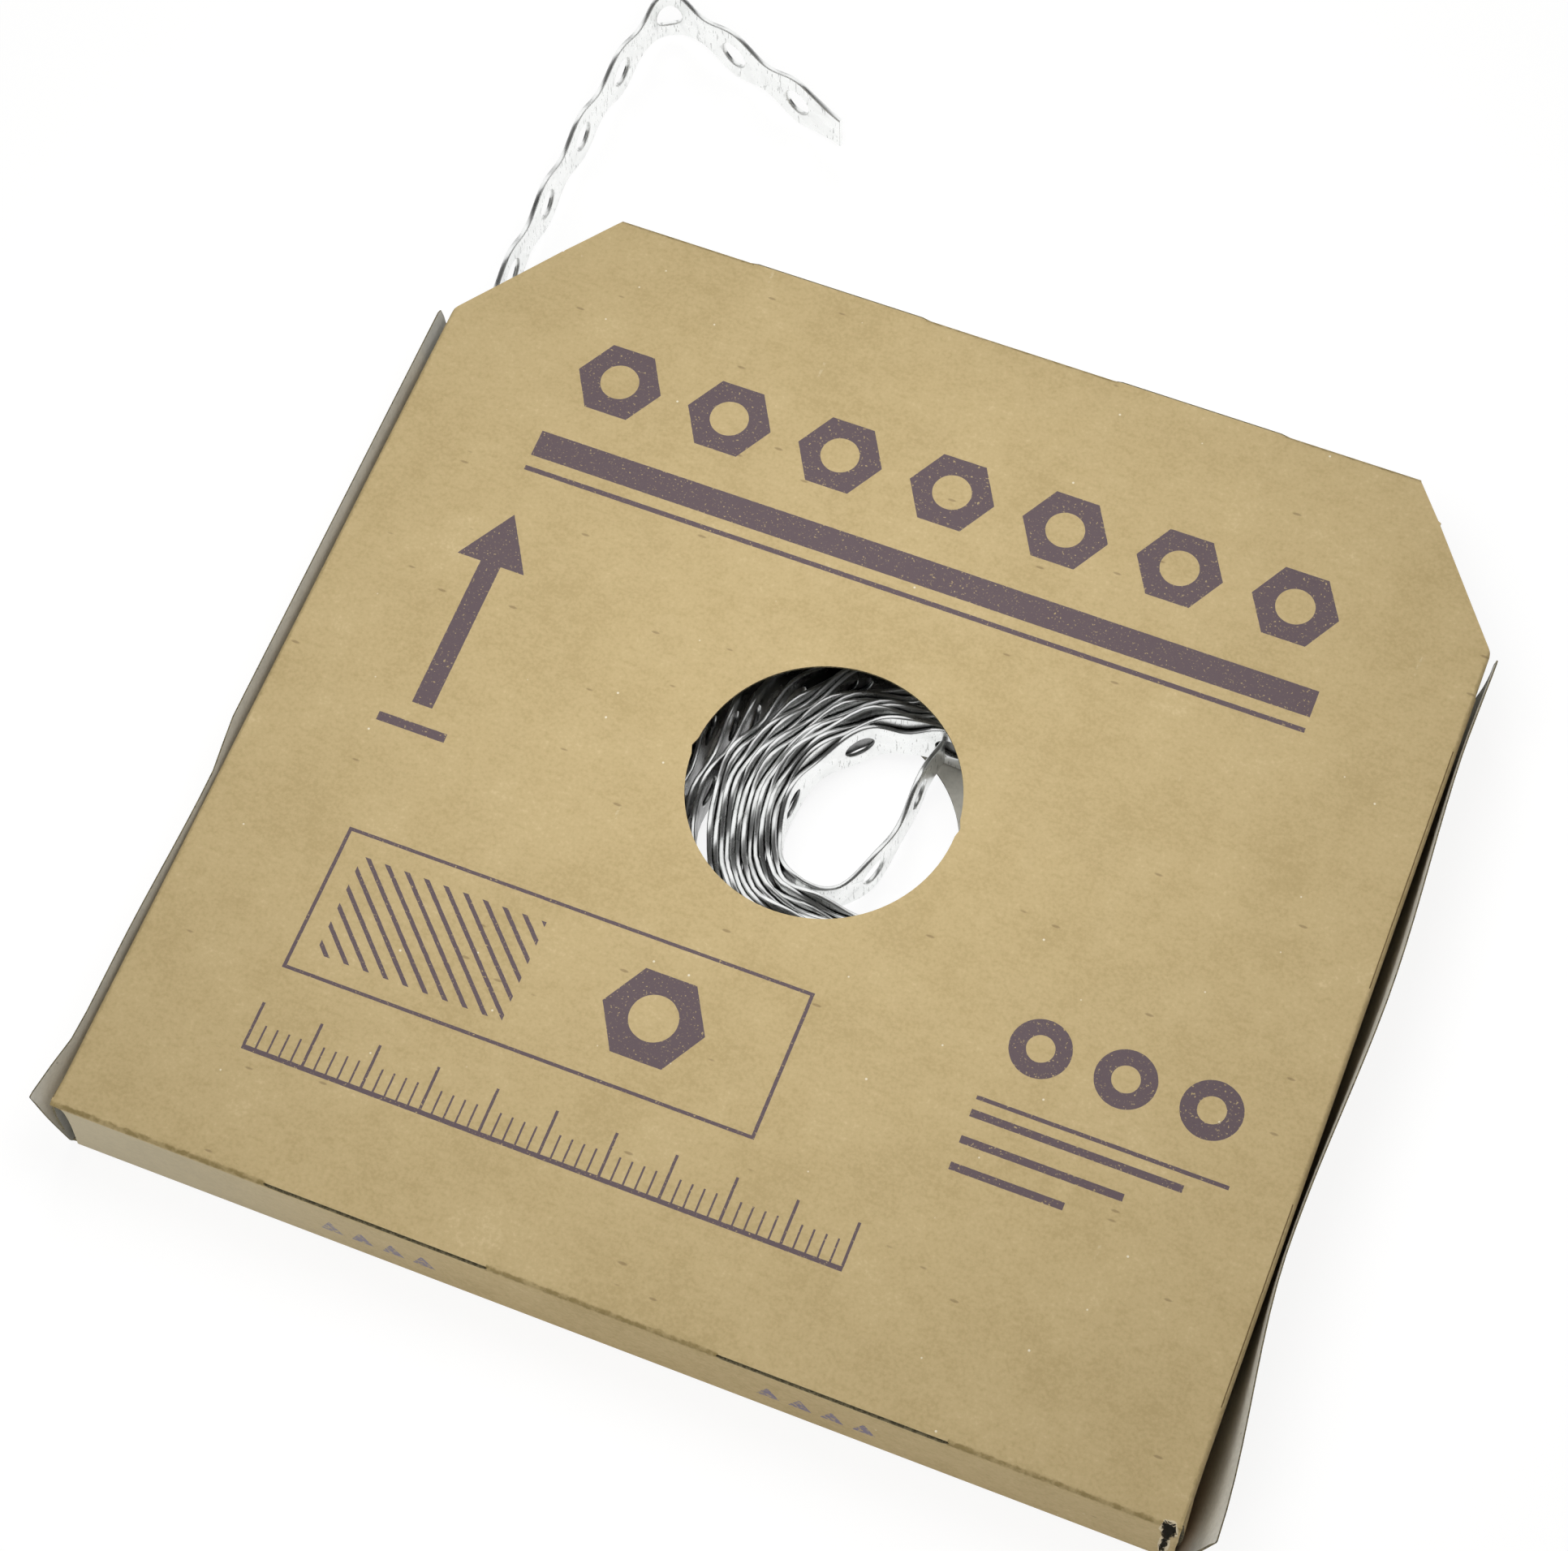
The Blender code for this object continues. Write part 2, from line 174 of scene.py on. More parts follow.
FLOOR_REACH = 6.0
FLOOR_DROP = 0.0002
floor_mesh = bpy.data.meshes.new("floor")
floor_mesh.from_pydata(
    [(x * FLOOR_REACH, y * FLOOR_REACH, -FLOOR_DROP) for x, y in ((-1, -1), (1, -1), (1, 1), (-1, 1))],
    [], [(0, 1, 2, 3)])
floor = link_object("floor", floor_mesh)
floor_paint = bpy.data.materials.new("pale_floor")
floor_paint.use_nodes = True
tree = floor_paint.node_tree
tree.nodes.clear()
bounce = add_node(tree, "ShaderNodeBsdfDiffuse", {"Color": grey(0.82)})
faint = add_node(tree, "ShaderNodeBsdfDiffuse", {"Color": grey(0.18)})
white = add_node(tree, "ShaderNodeEmission", {"Color": grey(1.0), "Strength": 0.88})
shown = add_node(tree, "ShaderNodeAddShader", {0: faint.outputs[0], 1: white.outputs[0]})
floor_mix = add_node(tree, "ShaderNodeMixShader",
                     {0: seen_directly(tree), 1: bounce.outputs[0], 2: shown.outputs[0]})
add_node(tree, "ShaderNodeOutputMaterial", {"Surface": floor_mix.outputs[0]})
floor_mesh.materials.append(floor_paint)

world = bpy.data.worlds.new("studio")
bpy.context.scene.world = world
world.use_nodes = True
tree = world.node_tree
tree.nodes.clear()
right, behind, above = axes(add_node(tree, "ShaderNodeTexCoord").outputs["Generated"])

# a white box behind on the left, and a low light band round the back
white_box = ramp(behind * 0.85 + right * -0.5, -0.02, 0.28) * ramp(above, 0.15, 0.35)
low_light = ramp(above, 0.15, 0.0) * ramp(behind, -0.60, -0.05)
studio = blend(either(white_box, low_light), grey(0.06), grey(1.0))
in_gloss = Value(add_node(tree, "ShaderNodeLightPath").outputs["Is Glossy Ray"])
seen_colour = blend(in_gloss, grey(1.0), studio)
seen_sky = add_node(tree, "ShaderNodeBackground", {"Color": seen_colour, "Strength": 1.0})
lit_sky = add_node(tree, "ShaderNodeBackground", {"Color": (1.0, 0.98, 0.93, 1.0), "Strength": 0.28})
sky_mix = add_node(tree, "ShaderNodeMixShader",
                   {0: seen_directly(tree), 1: lit_sky.outputs[0], 2: seen_sky.outputs[0]})
add_node(tree, "ShaderNodeOutputWorld", {"Surface": sky_mix.outputs[0]})


def soft_lamp(name, place, target, size, power):
    data = bpy.data.lights.new(name, "AREA")
    data.shape = "DISK"
    data.size = size
    data.energy = power
    lamp = link_object(name, data)
    lamp.location = place
    lamp.rotation_euler = (Vector(target) - Vector(place)).to_track_quat("-Z", "Y").to_euler()
    lamp.visible_camera = False
    lamp.visible_glossy = False


soft_lamp("key_lamp", (-0.26, 0.50, 0.46), (0.0, 0.0, 0.0), size=0.30, power=0.8)
soft_lamp("top_lamp", (-0.007, -0.006, 0.205), (-0.007, -0.006, 0.0), size=0.16, power=0.270)
soft_lamp("front_lamp", (-0.10, -0.70, 0.30), (0.0, 0.0, 0.0), size=0.50, power=1.4)


# Carton. One blank of kraft board, brown outside and grey inside, die cut with its window
# twice and with slits on its folds, then folded up as a sleeve. Its glue tab is inside the
# top wall. The side flaps of the front hang inside, and those of the back have sprung open.

WIDTH = 185.0
HEIGHT = 182.6
DEPTH = 17.5
BOARD = 0.45
FOLD = 1.2
SIDE_FOLD = 0.9
PANEL = HEIGHT - 2 * FOLD
WALL = DEPTH - 2 * FOLD
ARC = FOLD * math.pi / 2
SIDE_ARC = SIDE_FOLD * math.pi / 2
FOOT_FOLD = PANEL
FOOT_WALL = FOOT_FOLD + ARC
FRONT_FOLD = FOOT_WALL + WALL
FRONT = FRONT_FOLD + ARC
HEAD_FOLD = FRONT + PANEL
HEAD_WALL = HEAD_FOLD + ARC
SEAM_FOLD = HEAD_WALL + WALL
ROUND = SEAM_FOLD + ARC
SEAM_GAP = 1.1
TAB = 11.0
TAB_STEP = 1.0
OUTER_FLAP = 17.0
OUTER_FLAP_TOP = 154.8
TUCK_FLAP = 15.5
TUCK_LEAN = 1.6
CUT_X = 20.6
CUT_Y = 155.1
WINDOW_RADIUS = 22.4
WINDOW_X = 92.5
WINDOW_Y = 93.2
WINDOW_SIDES = 96
BACK_WINDOW_X = 92.6
BACK_WINDOW_Y = 92.2
WORN_X = 183.15
SIDE_CREASE = 0.35
SLIT = 0.30
SLIT_EASE = 0.8
FOOT_SLITS = ((36.7, 73.6), (111.6, 148.3))
HEAD_SLITS = ((45.0, 76.6), (111.2, 140.9))
CELL = 5.0
WALL_CELL = 3.0
CRUSHED_EDGE = 2.0
SHARP_ANGLE = math.radians(32.0)


def back_run(y):
    """How far round the blank a height on the back panel is."""
    return HEIGHT - FOLD - y


def front_run(y):
    return FRONT + y - FOLD


def wall_run(z):
    return FOOT_WALL + z - FOLD


def smooth_rise(value):
    """Goes smoothly from 0 to 1 as the value does, and stays level outside."""
    t = min(max(value, 0.0), 1.0)
    return t * t * (3.0 - 2.0 * t)


def flap_end(reach):
    """Where on the flat blank a side flap of a folded reach ends."""
    return SIDE_FOLD - (SIDE_ARC + reach - SIDE_FOLD)


def left_outline():
    """The blank's left edge, from the glue tab round to the top wall, as (x, run)."""
    outer = flap_end(OUTER_FLAP)
    tuck = flap_end(TUCK_FLAP)
    return [
        (24.0, -ARC - TAB), (21.2, -ARC - 0.5), (CUT_X, -1.0),
        (13.5, back_run(173.2)), (0.0, back_run(CUT_Y)),
        (-0.5, back_run(OUTER_FLAP_TOP)), (outer + 0.4, back_run(OUTER_FLAP_TOP)),
        (outer, back_run(OUTER_FLAP_TOP - 0.8)),
        (outer, back_run(0.25)), (outer + 0.15, back_run(0.1)), (-9.0, back_run(0.08)),
        (-0.5, back_run(0.15)), (0.9, back_run(0.5)), (1.3, back_run(0.4)),
        (1.6, FOOT_WALL + 0.2), (1.95, wall_run(5.6)), (2.2, wall_run(9.5)), (2.28, wall_run(12.5)),
        (2.2, wall_run(15.3)), (1.9, FRONT_FOLD + 0.25), (1.2, FRONT_FOLD + 0.55), (0.1, FRONT_FOLD + 0.8),
        (0.0, front_run(1.25)), (-0.7, front_run(1.25)), (tuck + 3.0, front_run(1.25)),
        (tuck, front_run(2.2)),
        (tuck, front_run(142.0)), (-0.7, front_run(146.4)), (0.0, front_run(146.7)),
        (0.1, front_run(CUT_Y - 0.5)), (0.25, front_run(CUT_Y + 0.3)),
        (13.1, front_run(172.75)), (13.35, front_run(172.85)), (13.4, front_run(173.1)),
        (CUT_X - 0.3, front_run(HEIGHT - FOLD + 0.4)), (CUT_X, HEAD_WALL), (CUT_X, ROUND - SEAM_GAP),
    ]


def right_outline():
    """The blank's right edge, in the same order."""
    outer = WIDTH - flap_end(OUTER_FLAP)
    tuck = WIDTH - flap_end(TUCK_FLAP)
    cut = WIDTH - CUT_X
    return [
        (cut - 3.4, -ARC - TAB), (cut - 0.6, -ARC - 0.5), (cut, -1.0),
        (171.5, back_run(173.2)), (WIDTH, back_run(CUT_Y)),
        (WIDTH + 0.5, back_run(OUTER_FLAP_TOP)), (outer - 0.4, back_run(OUTER_FLAP_TOP)),
        (outer, back_run(OUTER_FLAP_TOP - 0.8)),
        (outer, back_run(1.2)), (outer - 0.3, back_run(0.9)), (WIDTH + 9.0, back_run(0.4)),
        (WIDTH + 0.5, back_run(0.15)), (WIDTH - 0.9, back_run(0.5)),
        (WIDTH - 0.3, FOOT_WALL), (WIDTH - 0.1, wall_run(4.0)), (WIDTH - 0.2, wall_run(8.0)),
        (WIDTH - 0.08, wall_run(12.0)), (WIDTH - 0.15, wall_run(15.5)), (WIDTH - 0.1, FRONT_FOLD + 0.9),
        (WIDTH - 0.05, FRONT),
        (WIDTH, front_run(1.3)), (WIDTH + 0.7, front_run(1.4)), (tuck, front_run(2.0)),
        (tuck, front_run(142.0)), (WIDTH + 0.7, front_run(146.4)), (WIDTH, front_run(146.7)),
        (WIDTH - 0.05, front_run(CUT_Y - 0.6)), (WIDTH - 0.3, front_run(CUT_Y + 0.2)),
        (170.05, front_run(175.05)), (170.1, front_run(175.45)), (169.55, front_run(175.7)),
        (cut + 0.3, front_run(HEIGHT - FOLD + 0.4)), (cut, HEAD_WALL), (cut, ROUND - SEAM_GAP),
    ]


def window_outline(x, run, nicks=()):
    points = []
    for i in range(WINDOW_SIDES):
        angle = 2.0 * math.pi * i / WINDOW_SIDES
        reach = WINDOW_RADIUS + (0.45 if i in nicks else 0.0)
        points.append((x + reach * math.cos(angle), run + reach * math.sin(angle)))
    return points


WORN_HOLE = [
    (181.9, wall_run(17.2)), (182.15, wall_run(18.1)), (182.9, wall_run(17.95)), (183.8, wall_run(18.0)),
    (184.35, wall_run(16.4)), (184.15, wall_run(15.2)), (184.2, wall_run(14.0)), (183.55, wall_run(12.9)),
    (183.7, wall_run(11.8)), (183.35, wall_run(10.9)), (183.6, wall_run(8.1)), (183.2, wall_run(6.2)),
    (183.4, wall_run(4.6)), (182.6, wall_run(3.3)), (182.35, wall_run(6.0)), (182.6, wall_run(8.4)),
    (182.45, wall_run(10.2)), (182.75, wall_run(11.3)), (182.3, wall_run(12.4)), (182.1, wall_run(14.2)),
    (182.3, wall_run(15.4)),
]


def blank_outlines():
    outlines = [left_outline() + list(reversed(right_outline())), WORN_HOLE]
    outlines.append(window_outline(WINDOW_X, front_run(WINDOW_Y), nicks=(1, 48)))
    outlines.append(window_outline(BACK_WINDOW_X, back_run(BACK_WINDOW_Y)))
    for slits, middle in ((FOOT_SLITS, FRONT_FOLD + ARC / 2), (HEAD_SLITS, HEAD_FOLD + ARC / 2)):
        for x0, x1 in slits:
            low = middle - SLIT / 2
            high = middle + SLIT / 2
            outlines.append([(x0, low), (x1, low), (x1 + 0.3, middle), (x1, high), (x0, high),
                             (x0 - 0.3, middle)])
    return outlines


def flat_board(outlines, thickness):
    """A closed flat board over outlines with holes, its outer face at level 0, as a bmesh."""
    curve = bpy.data.curves.new("blank", "CURVE")
    curve.dimensions = "2D"
    curve.fill_mode = "BOTH"
    curve.extrude = thickness / 2
    for outline in outlines:
        spline = curve.splines.new("POLY")
        spline.points.add(len(outline) - 1)
        for point, (x, run) in zip(spline.points, outline):
            point.co = (x, run, 0.0, 1.0)
        spline.use_cyclic_u = True
    flat = link_object("blank", curve)
    graph = bpy.context.evaluated_depsgraph_get()
    mesh = bpy.data.meshes.new_from_object(flat.evaluated_get(graph))
    bm = bmesh.new()
    bm.from_mesh(mesh)
    bpy.data.objects.remove(flat, do_unlink=True)
    bpy.data.meshes.remove(mesh)
    bmesh.ops.remove_doubles(bm, verts=bm.verts, dist=0.001)
    bmesh.ops.translate(bm, verts=bm.verts, vec=(0.0, 0.0, -thickness / 2))
    bmesh.ops.dissolve_limit(bm, angle_limit=0.001, verts=bm.verts, edges=bm.edges)
    bmesh.ops.recalc_face_normals(bm, faces=bm.faces)
    return bm


def score(bm, axis, places):
    """Cuts the board's faces along lines across one axis, so that it can be bent there."""
    normal = Vector((0.0, 0.0, 0.0))
    normal[axis] = 1.0
    for place in places:
        geometry = list(bm.verts) + list(bm.edges) + list(bm.faces)
        bmesh.ops.bisect_plane(bm, geom=geometry, dist=0.0005, plane_co=normal * place, plane_no=normal)


def even_steps(low, high, spacing):
    steps = max(1, round((high - low) / spacing))
    return [low + (high - low) * i / steps for i in range(steps + 1)]


def bend_lines():
    """Where the blank is scored across x, and round its run."""
    fold_steps = 6
    side = even_steps(SIDE_FOLD - SIDE_ARC, SIDE_FOLD, SIDE_ARC / fold_steps)
    slit_ends = [x for pair in FOOT_SLITS + HEAD_SLITS for x in pair]
    eased = [x + shift for x in slit_ends for shift in (-SLIT_EASE, SLIT_EASE)]
    across = even_steps(flap_end(OUTER_FLAP), side[0], CRUSHED_EDGE)[1:] + side[1:]
    across += even_steps(SIDE_FOLD, 3.0, 0.7)[1:]
    across += [WIDTH - x for x in across] + even_steps(3.0, WIDTH - 3.0, CELL) + eased
    around = []
    for start in (FOOT_FOLD, FRONT_FOLD, HEAD_FOLD, SEAM_FOLD):
        around += even_steps(start, start + ARC, ARC / fold_steps)
    around += [-ARC * i / fold_steps for i in range(fold_steps + 1)] + [-TAB_STEP * 0.5, -ARC - TAB / 2]
    around += even_steps(0.0, FOOT_FOLD, CELL)[1:-1] + even_steps(FRONT, HEAD_FOLD, CELL)[1:-1]
    around += even_steps(FOOT_WALL, FRONT_FOLD, WALL_CELL)[1:-1]
    around += even_steps(HEAD_WALL, SEAM_FOLD, WALL_CELL)[1:-1]
    return sorted(set(round(x, 4) for x in across)), sorted(set(round(r, 4) for r in around))


def slit_share(x, run):
    """1 where the fold is cut through and its two edges butt, 0 where it is creased."""
    slits = HEAD_SLITS if run > FRONT + PANEL / 2 else FOOT_SLITS
    share = max(smooth_rise((x - x0 + SLIT_EASE) / (2.0 * SLIT_EASE))
                * smooth_rise((x1 + SLIT_EASE - x) / (2.0 * SLIT_EASE)) for x0, x1 in slits)
    corner = smooth_rise((2.4 - x) / 0.8) if FOOT_WALL < run < FRONT + 1.0 else 0.0
    return max(share, corner)


def sleeve_place(run, x):
    """A point of the outer skin (y, z), and its outward normal, at a run round the sleeve."""
    place = Vector((HEIGHT - FOLD, 0.0))
    normal = Vector((0.0, -1.0))
    run = run % ROUND if run < 0.0 else run
    for length in (PANEL, WALL, PANEL, WALL):
        heading = Vector((normal.y, -normal.x))
        if run <= length:
            return place + heading * run, normal
        run -= length
        place = place + heading * length
        if run <= ARC:
            angle = run / FOLD
            after = normal * math.cos(angle) + heading * math.sin(angle)
            bent = place - normal * FOLD + after * FOLD
            cut = 0.0
            if normal.x < -0.5:
                cut = slit_share(x, FRONT_FOLD + run)
            elif normal.y > 0.5:
                cut = slit_share(x, HEAD_FOLD + run)
            if run < ARC / 2:
                butt, butt_normal = place + heading * run, normal
            else:
                butt = place + (heading - normal) * FOLD + normal * (ARC - run)
                butt_normal = heading
            mixed = (after * (1.0 - cut) + butt_normal * cut).normalized()
            return bent * (1.0 - cut) + butt * cut, mixed
        run -= ARC
        place = place + (heading - normal) * FOLD
        normal = heading
    return place, normal


def left_splay(y):
    """How far the left outer flap's free edge has sprung out, at a height up the face."""
    above = 1.3 * smooth_rise((y - 60.0) / 12.0)
    below = 0.7 * smooth_rise((58.0 - y) / 30.0)
    corner = 2.2 * smooth_rise((14.0 - y) / 14.0)
    return 1.0 + above + below + corner


def right_splay(y):
    """The same for the right outer flap, which bulges in the middle and opens at its foot."""
    bulge = 1.8 * smooth_rise(1.0 - abs(y - 94.0) / 45.0)
    foot = 4.6 * smooth_rise((48.0 - y) / 48.0)
    top = 0.4 * smooth_rise((y - 138.0) / 17.0)
    return 1.0 + bulge + foot + top


def fold_point(x, run, level):
    """Where a point of the flat blank goes when the carton is folded up."""
    (y, z), normal = sleeve_place(run, x)
    crushed_from = flap_end(OUTER_FLAP) + CRUSHED_EDGE
    crushed = smooth_rise(max(crushed_from - x, x - (WIDTH - crushed_from)) / CRUSHED_EDGE)
    depth = -level * (1.0 - 0.5 * crushed)
    if run < 0.0:
        depth += (BOARD + 0.05) * smooth_rise(-run / TAB_STEP)
    side = -1.0 if x < WIDTH / 2 else 1.0
    past = SIDE_FOLD - (x if side < 0.0 else WIDTH - x)
    on_back = 0.0 <= run < FOOT_FOLD or 0.0 < run < FOOT_WALL and past > SIDE_FOLD + 0.2
    on_front = FRONT <= run < HEAD_FOLD
    if past > 0.0 and (on_back or on_front):
        if on_back:
            y, z, normal = HEIGHT - FOLD - run, 0.0, Vector((0.0, -1.0))
            splay = left_splay(y) if side < 0.0 else right_splay(y)
            most = math.pi / 2 - math.asin(splay / OUTER_FLAP)
            bow = 0.35 * side
        else:
            sprung = smooth_rise((13.0 - y) / 10.0)
            most = math.pi / 2 + math.asin(TUCK_LEAN * (1.0 - sprung) / TUCK_FLAP)
            bow = ((0.7 if side > 0.0 else 0.8) * sprung - 0.25) * side
        angle = min(past / SIDE_FOLD, most)
        rest = past - SIDE_FOLD * angle
        if on_front and side < 0.0:
            y -= 0.95 * sprung * smooth_rise(rest / 1.2)
        lateral = SIDE_FOLD * math.sin(angle) + rest * math.cos(most) - depth * math.sin(angle)
        down = SIDE_FOLD * (1.0 - math.cos(angle)) + rest * math.sin(most) + depth * math.cos(angle)
        lateral += bow * side * math.sin(math.pi * min(rest / TUCK_FLAP, 1.0))
        x = (SIDE_FOLD - lateral) if side < 0.0 else (WIDTH - SIDE_FOLD + lateral)
    else:
        down = depth
    return Vector((x, y - normal.x * down, z - normal.y * down))


def settle(place):
    """The little unevenness of a carton that has been handled. It only sinks inwards."""
    low = noise.noise(Vector((place.x * 0.022, place.y * 0.022, 3.7)))
    fine = noise.noise(Vector((place.x * 0.07, place.y * 0.07, 8.1)))
    sag = 0.10 + 0.10 * low + 0.04 * fine
    from_side = min(place.x, WIDTH - place.x)
    from_end = min(place.y, HEIGHT - place.y)
    sag *= smooth_rise(from_side / 8.0) * smooth_rise(from_end / 8.0)
    place.z += -sag if place.z > DEPTH / 2 else 0.5 * sag
    return place


blank = flat_board(blank_outlines(), BOARD)
lines_across, lines_around = bend_lines()
score(blank, 0, lines_across)
score(blank, 1, lines_around)
flat_place = blank.loops.layers.uv.new("blank")
for face in blank.faces:
    face.material_index = 0 if face.normal.z > 0.5 else 1 if face.normal.z < -0.5 else 2
    face.smooth = True
    for corner in face.loops:
        corner[flat_place].uv = (corner.vert.co.x * MM, corner.vert.co.y * MM)
for vert in blank.verts:
    vert.co = settle(fold_point(*vert.co)) * MM + CARTON_CORNER
carton_mesh = bpy.data.meshes.new("carton_board")
blank.to_mesh(carton_mesh)
blank.free()
carton_mesh.set_sharp_from_angle(angle=SHARP_ANGLE)
carton_board = link_object("carton_board", carton_mesh)


def shade(red, green, blue):
    """A colour from the 0 to 255 values that it shows on a screen."""
    values = [v / 255.0 for v in (red, green, blue)]
    return tuple(v / 12.92 if v <= 0.04045 else ((v + 0.055) / 1.055) ** 2.4 for v in values) + (1.0,)


def moved(place, stretch, offset):
    return add_node(place.id_data, "ShaderNodeMapping",
                    {"Vector": place, "Scale": stretch, "Location": offset}).outputs[0]


def cloud(place, scale, stretch=(1.0, 1.0, 1.0), detail=3.0, offset=(0.0, 0.0, 0.0)):
    """Soft noise, stretched along the axes that have the smaller numbers."""
    inputs = {"Vector": moved(place, stretch, offset), "Scale": scale, "Detail": detail, "Roughness": 0.6}
    return Value(add_node(place.id_data, "ShaderNodeTexNoise", inputs).outputs[0])


def specks(place, scale, size, rarity, stretch=(1.0, 1.0, 1.0), offset=(0.0, 0.0, 0.0)):
    """Small scattered marks: 1 in a mark. Rarity is the share of cells without one."""
    cells = add_node(place.id_data, "ShaderNodeTexVoronoi",
                     {"Vector": moved(place, stretch, offset), "Scale": scale}).outputs
    chance = add_node(place.id_data, "ShaderNodeSeparateColor", {0: cells["Color"]})
    return ramp(Value(cells["Distance"]), size, size * 0.5) * (Value(chance.outputs[0]) > rarity)


def in_range(value, low, high):
    return maths("COMPARE", value, (low + high) / 2, (high - low) / 2)


def repeat(value, reach):
    """The value again and again from -reach to reach."""
    return maths("WRAP", value, reach, -reach)


def distance_to(x, y):
    return maths("SQRT", x * x + y * y)


def new_material(name, roughness, metallic=0.0):
    """A material with its shader, and its object place, ready for its nodes."""
    made = bpy.data.materials.new(name)
    made.use_nodes = True
    shader = made.node_tree.nodes["Principled BSDF"]
    feed(shader, "Roughness", roughness)
    feed(shader, "Metallic", metallic)
    return made, shader, add_node(made.node_tree, "ShaderNodeTexCoord").outputs["Object"]


def set_bump(shader, height, distance, strength):
    bump = add_node(shader.id_data, "ShaderNodeBump",
                    {"Height": height, "Distance": distance, "Strength": strength})
    feed(shader, "Normal", bump.outputs[0])


def kraft_grain(place):
    """The mottle of kraft paper: soft clouds, fine grain and fibres that lie mostly one way."""
    soft = cloud(place, 75.0, detail=2.0)
    fine = cloud(place, 1500.0)
    fibres = cloud(place, 600.0, stretch=(0.8, 1.25, 1.0), detail=5.0)
    return fibres * 0.30 + fine * 0.40 + soft * 0.30


def flat_axes(tree):
    """The place on the flat blank in millimetres: x, and how far round."""
    x, run, _ = axes(add_node(tree, "ShaderNodeUVMap", uv_map="blank").outputs[0])
    return x * 1000.0, run * 1000.0


KRAFT_DARK = shade(184, 163, 118)
KRAFT = shade(197, 176, 131)
KRAFT_PALE = shade(211, 191, 147)
BARK = shade(110, 88, 60)
CHIP = shade(240, 232, 210)
SCRATCH = shade(222, 210, 176)
CREASE = shade(138, 120, 74)
INK = shade(96, 83, 92)
WALL_INK = shade(118, 112, 140)
# painted sheen for the bottom wall's left end
PAINTED_SHEEN = shade(205, 201, 184)
TORN_RIM = shade(222, 208, 178)
CRACK = shade(96, 74, 40)

kraft_board, shader, place = new_material("kraft_board", 0.82)
grain = kraft_grain(place)
paper = blend(ramp(grain, 0.36, 0.56), KRAFT_DARK, KRAFT)
paper = blend(ramp(grain, 0.54, 0.72), paper, KRAFT_PALE)
dark_marks = specks(place, 330.0, 0.16, 0.90, stretch=(0.5, 1.6, 1.0))
paper = blend(dark_marks * 0.45, paper, BARK)
pale_marks = specks(place, 340.0, 0.085, 0.90, offset=(0.7, 0.4, 0.0))
paper = blend(pale_marks * 0.85, paper, CHIP)
scratches = specks(place, 90.0, 0.09, 0.80, stretch=(3.0, 0.35, 1.0), offset=(0.2, 0.9, 0.0))
scratches = scratches * ramp(cloud(place, 1300.0), 0.46, 0.58)
paper = blend(scratches * 0.35, paper, SCRATCH)
flat_x, flat_run = flat_axes(place.id_data)
front_y = flat_run - front_run(0.0)
wall_y = flat_run - wall_run(0.0)
wobble = (cloud(place, 900.0, detail=4.0) - 0.5) * 0.9

# the creased folds are dark, except where they are slit
creases = []
for middle, slits in ((FRONT_FOLD + ARC / 2, FOOT_SLITS), (HEAD_FOLD + ARC / 2, HEAD_SLITS)):
    band = ramp(abs(flat_run - middle) + wobble, 0.62, 0.25)
    slit = either(*[in_range(flat_x, x0, x1) for x0, x1 in slits])
    creases.append(band * (1.0 - slit))
for middle in (SIDE_CREASE, WIDTH - SIDE_CREASE):
    creases.append(ramp(abs(flat_x - middle) + wobble, 0.45, 0.15) * 0.35)
worn = ramp(cloud(place, 700.0, detail=4.0), 0.36, 0.60)
crease = either(*creases) * (worn * 0.50 + 0.32)
paper = blend(crease, paper, CREASE)

# print: plain bars, nuts, washers, an arrow, a hatched frame and a scale, in one dark ink
BARS = (
    (24.0, 133.6, 161.0, 138.6), (24.0, 130.6, 161.0, 131.5), (133.5, 52.6, 174.5, 53.3),
    (133.5, 49.6, 168.0, 50.9), (133.5, 45.0, 160.0, 46.3), (133.5, 40.4, 152.0, 41.7),
    (24.2, 84.0, 27.8, 112.5), (20.0, 79.0, 32.0, 80.6), (23.8, 19.2, 124.2, 20.0),
)
print_x = flat_x + wobble * 0.12
print_y = front_y + wobble * 0.12


def bar(x0, y0, x1, y1):
    return in_range(print_x, x0, x1) * in_range(print_y, y0, y1)


def nut(x, y, flats, bore):
    """A hexagon with a round hole, about 0, 0."""
    body = either(abs(x) * 0.866 + abs(y) * 0.5, abs(y)) < flats / 2
    return body * (distance_to(x, y) > bore / 2)


ink = [bar(*corners) for corners in BARS]
nut_row = nut(repeat(print_x - 32.5, 10.0), print_y - 152.0, 13.0, 6.6)
washer_row = in_range(distance_to(repeat(print_x - 140.0, 7.0), print_y - 64.0), 2.3, 5.0)
arrow_head = abs(print_x - 26.0) + print_y * 0.6 < 122.0 * 0.6
hatch = in_range(repeat(print_x + print_y, 1.7), -0.5, 0.5)
ink.append(nut_row * bar(22.0, 140.0, 163.0, 165.0))
ink.append(washer_row * bar(133.0, 56.0, 175.0, 72.0))
ink.append(arrow_head * in_range(print_y, 112.0, 122.0))
ink.append(hatch * bar(28.0, 38.0, 60.0, 56.0))
ink.append(bar(24.0, 34.0, 104.0, 60.0) * (1.0 - bar(24.6, 34.6, 103.4, 59.4)))
ink.append(nut(print_x - 82.0, print_y - 47.0, 15.0, 8.0))
for reach, half_width, top in ((1.0, 0.16, 24.0), (5.0, 0.24, 27.5)):
    tick = in_range(repeat(print_x - 24.0, reach), -half_width, half_width)
    ink.append(tick * bar(23.5, 20.0, 124.5, top))
coverage = either(*ink) * ramp(cloud(place, 2600.0, detail=2.0), 0.24, 0.40)
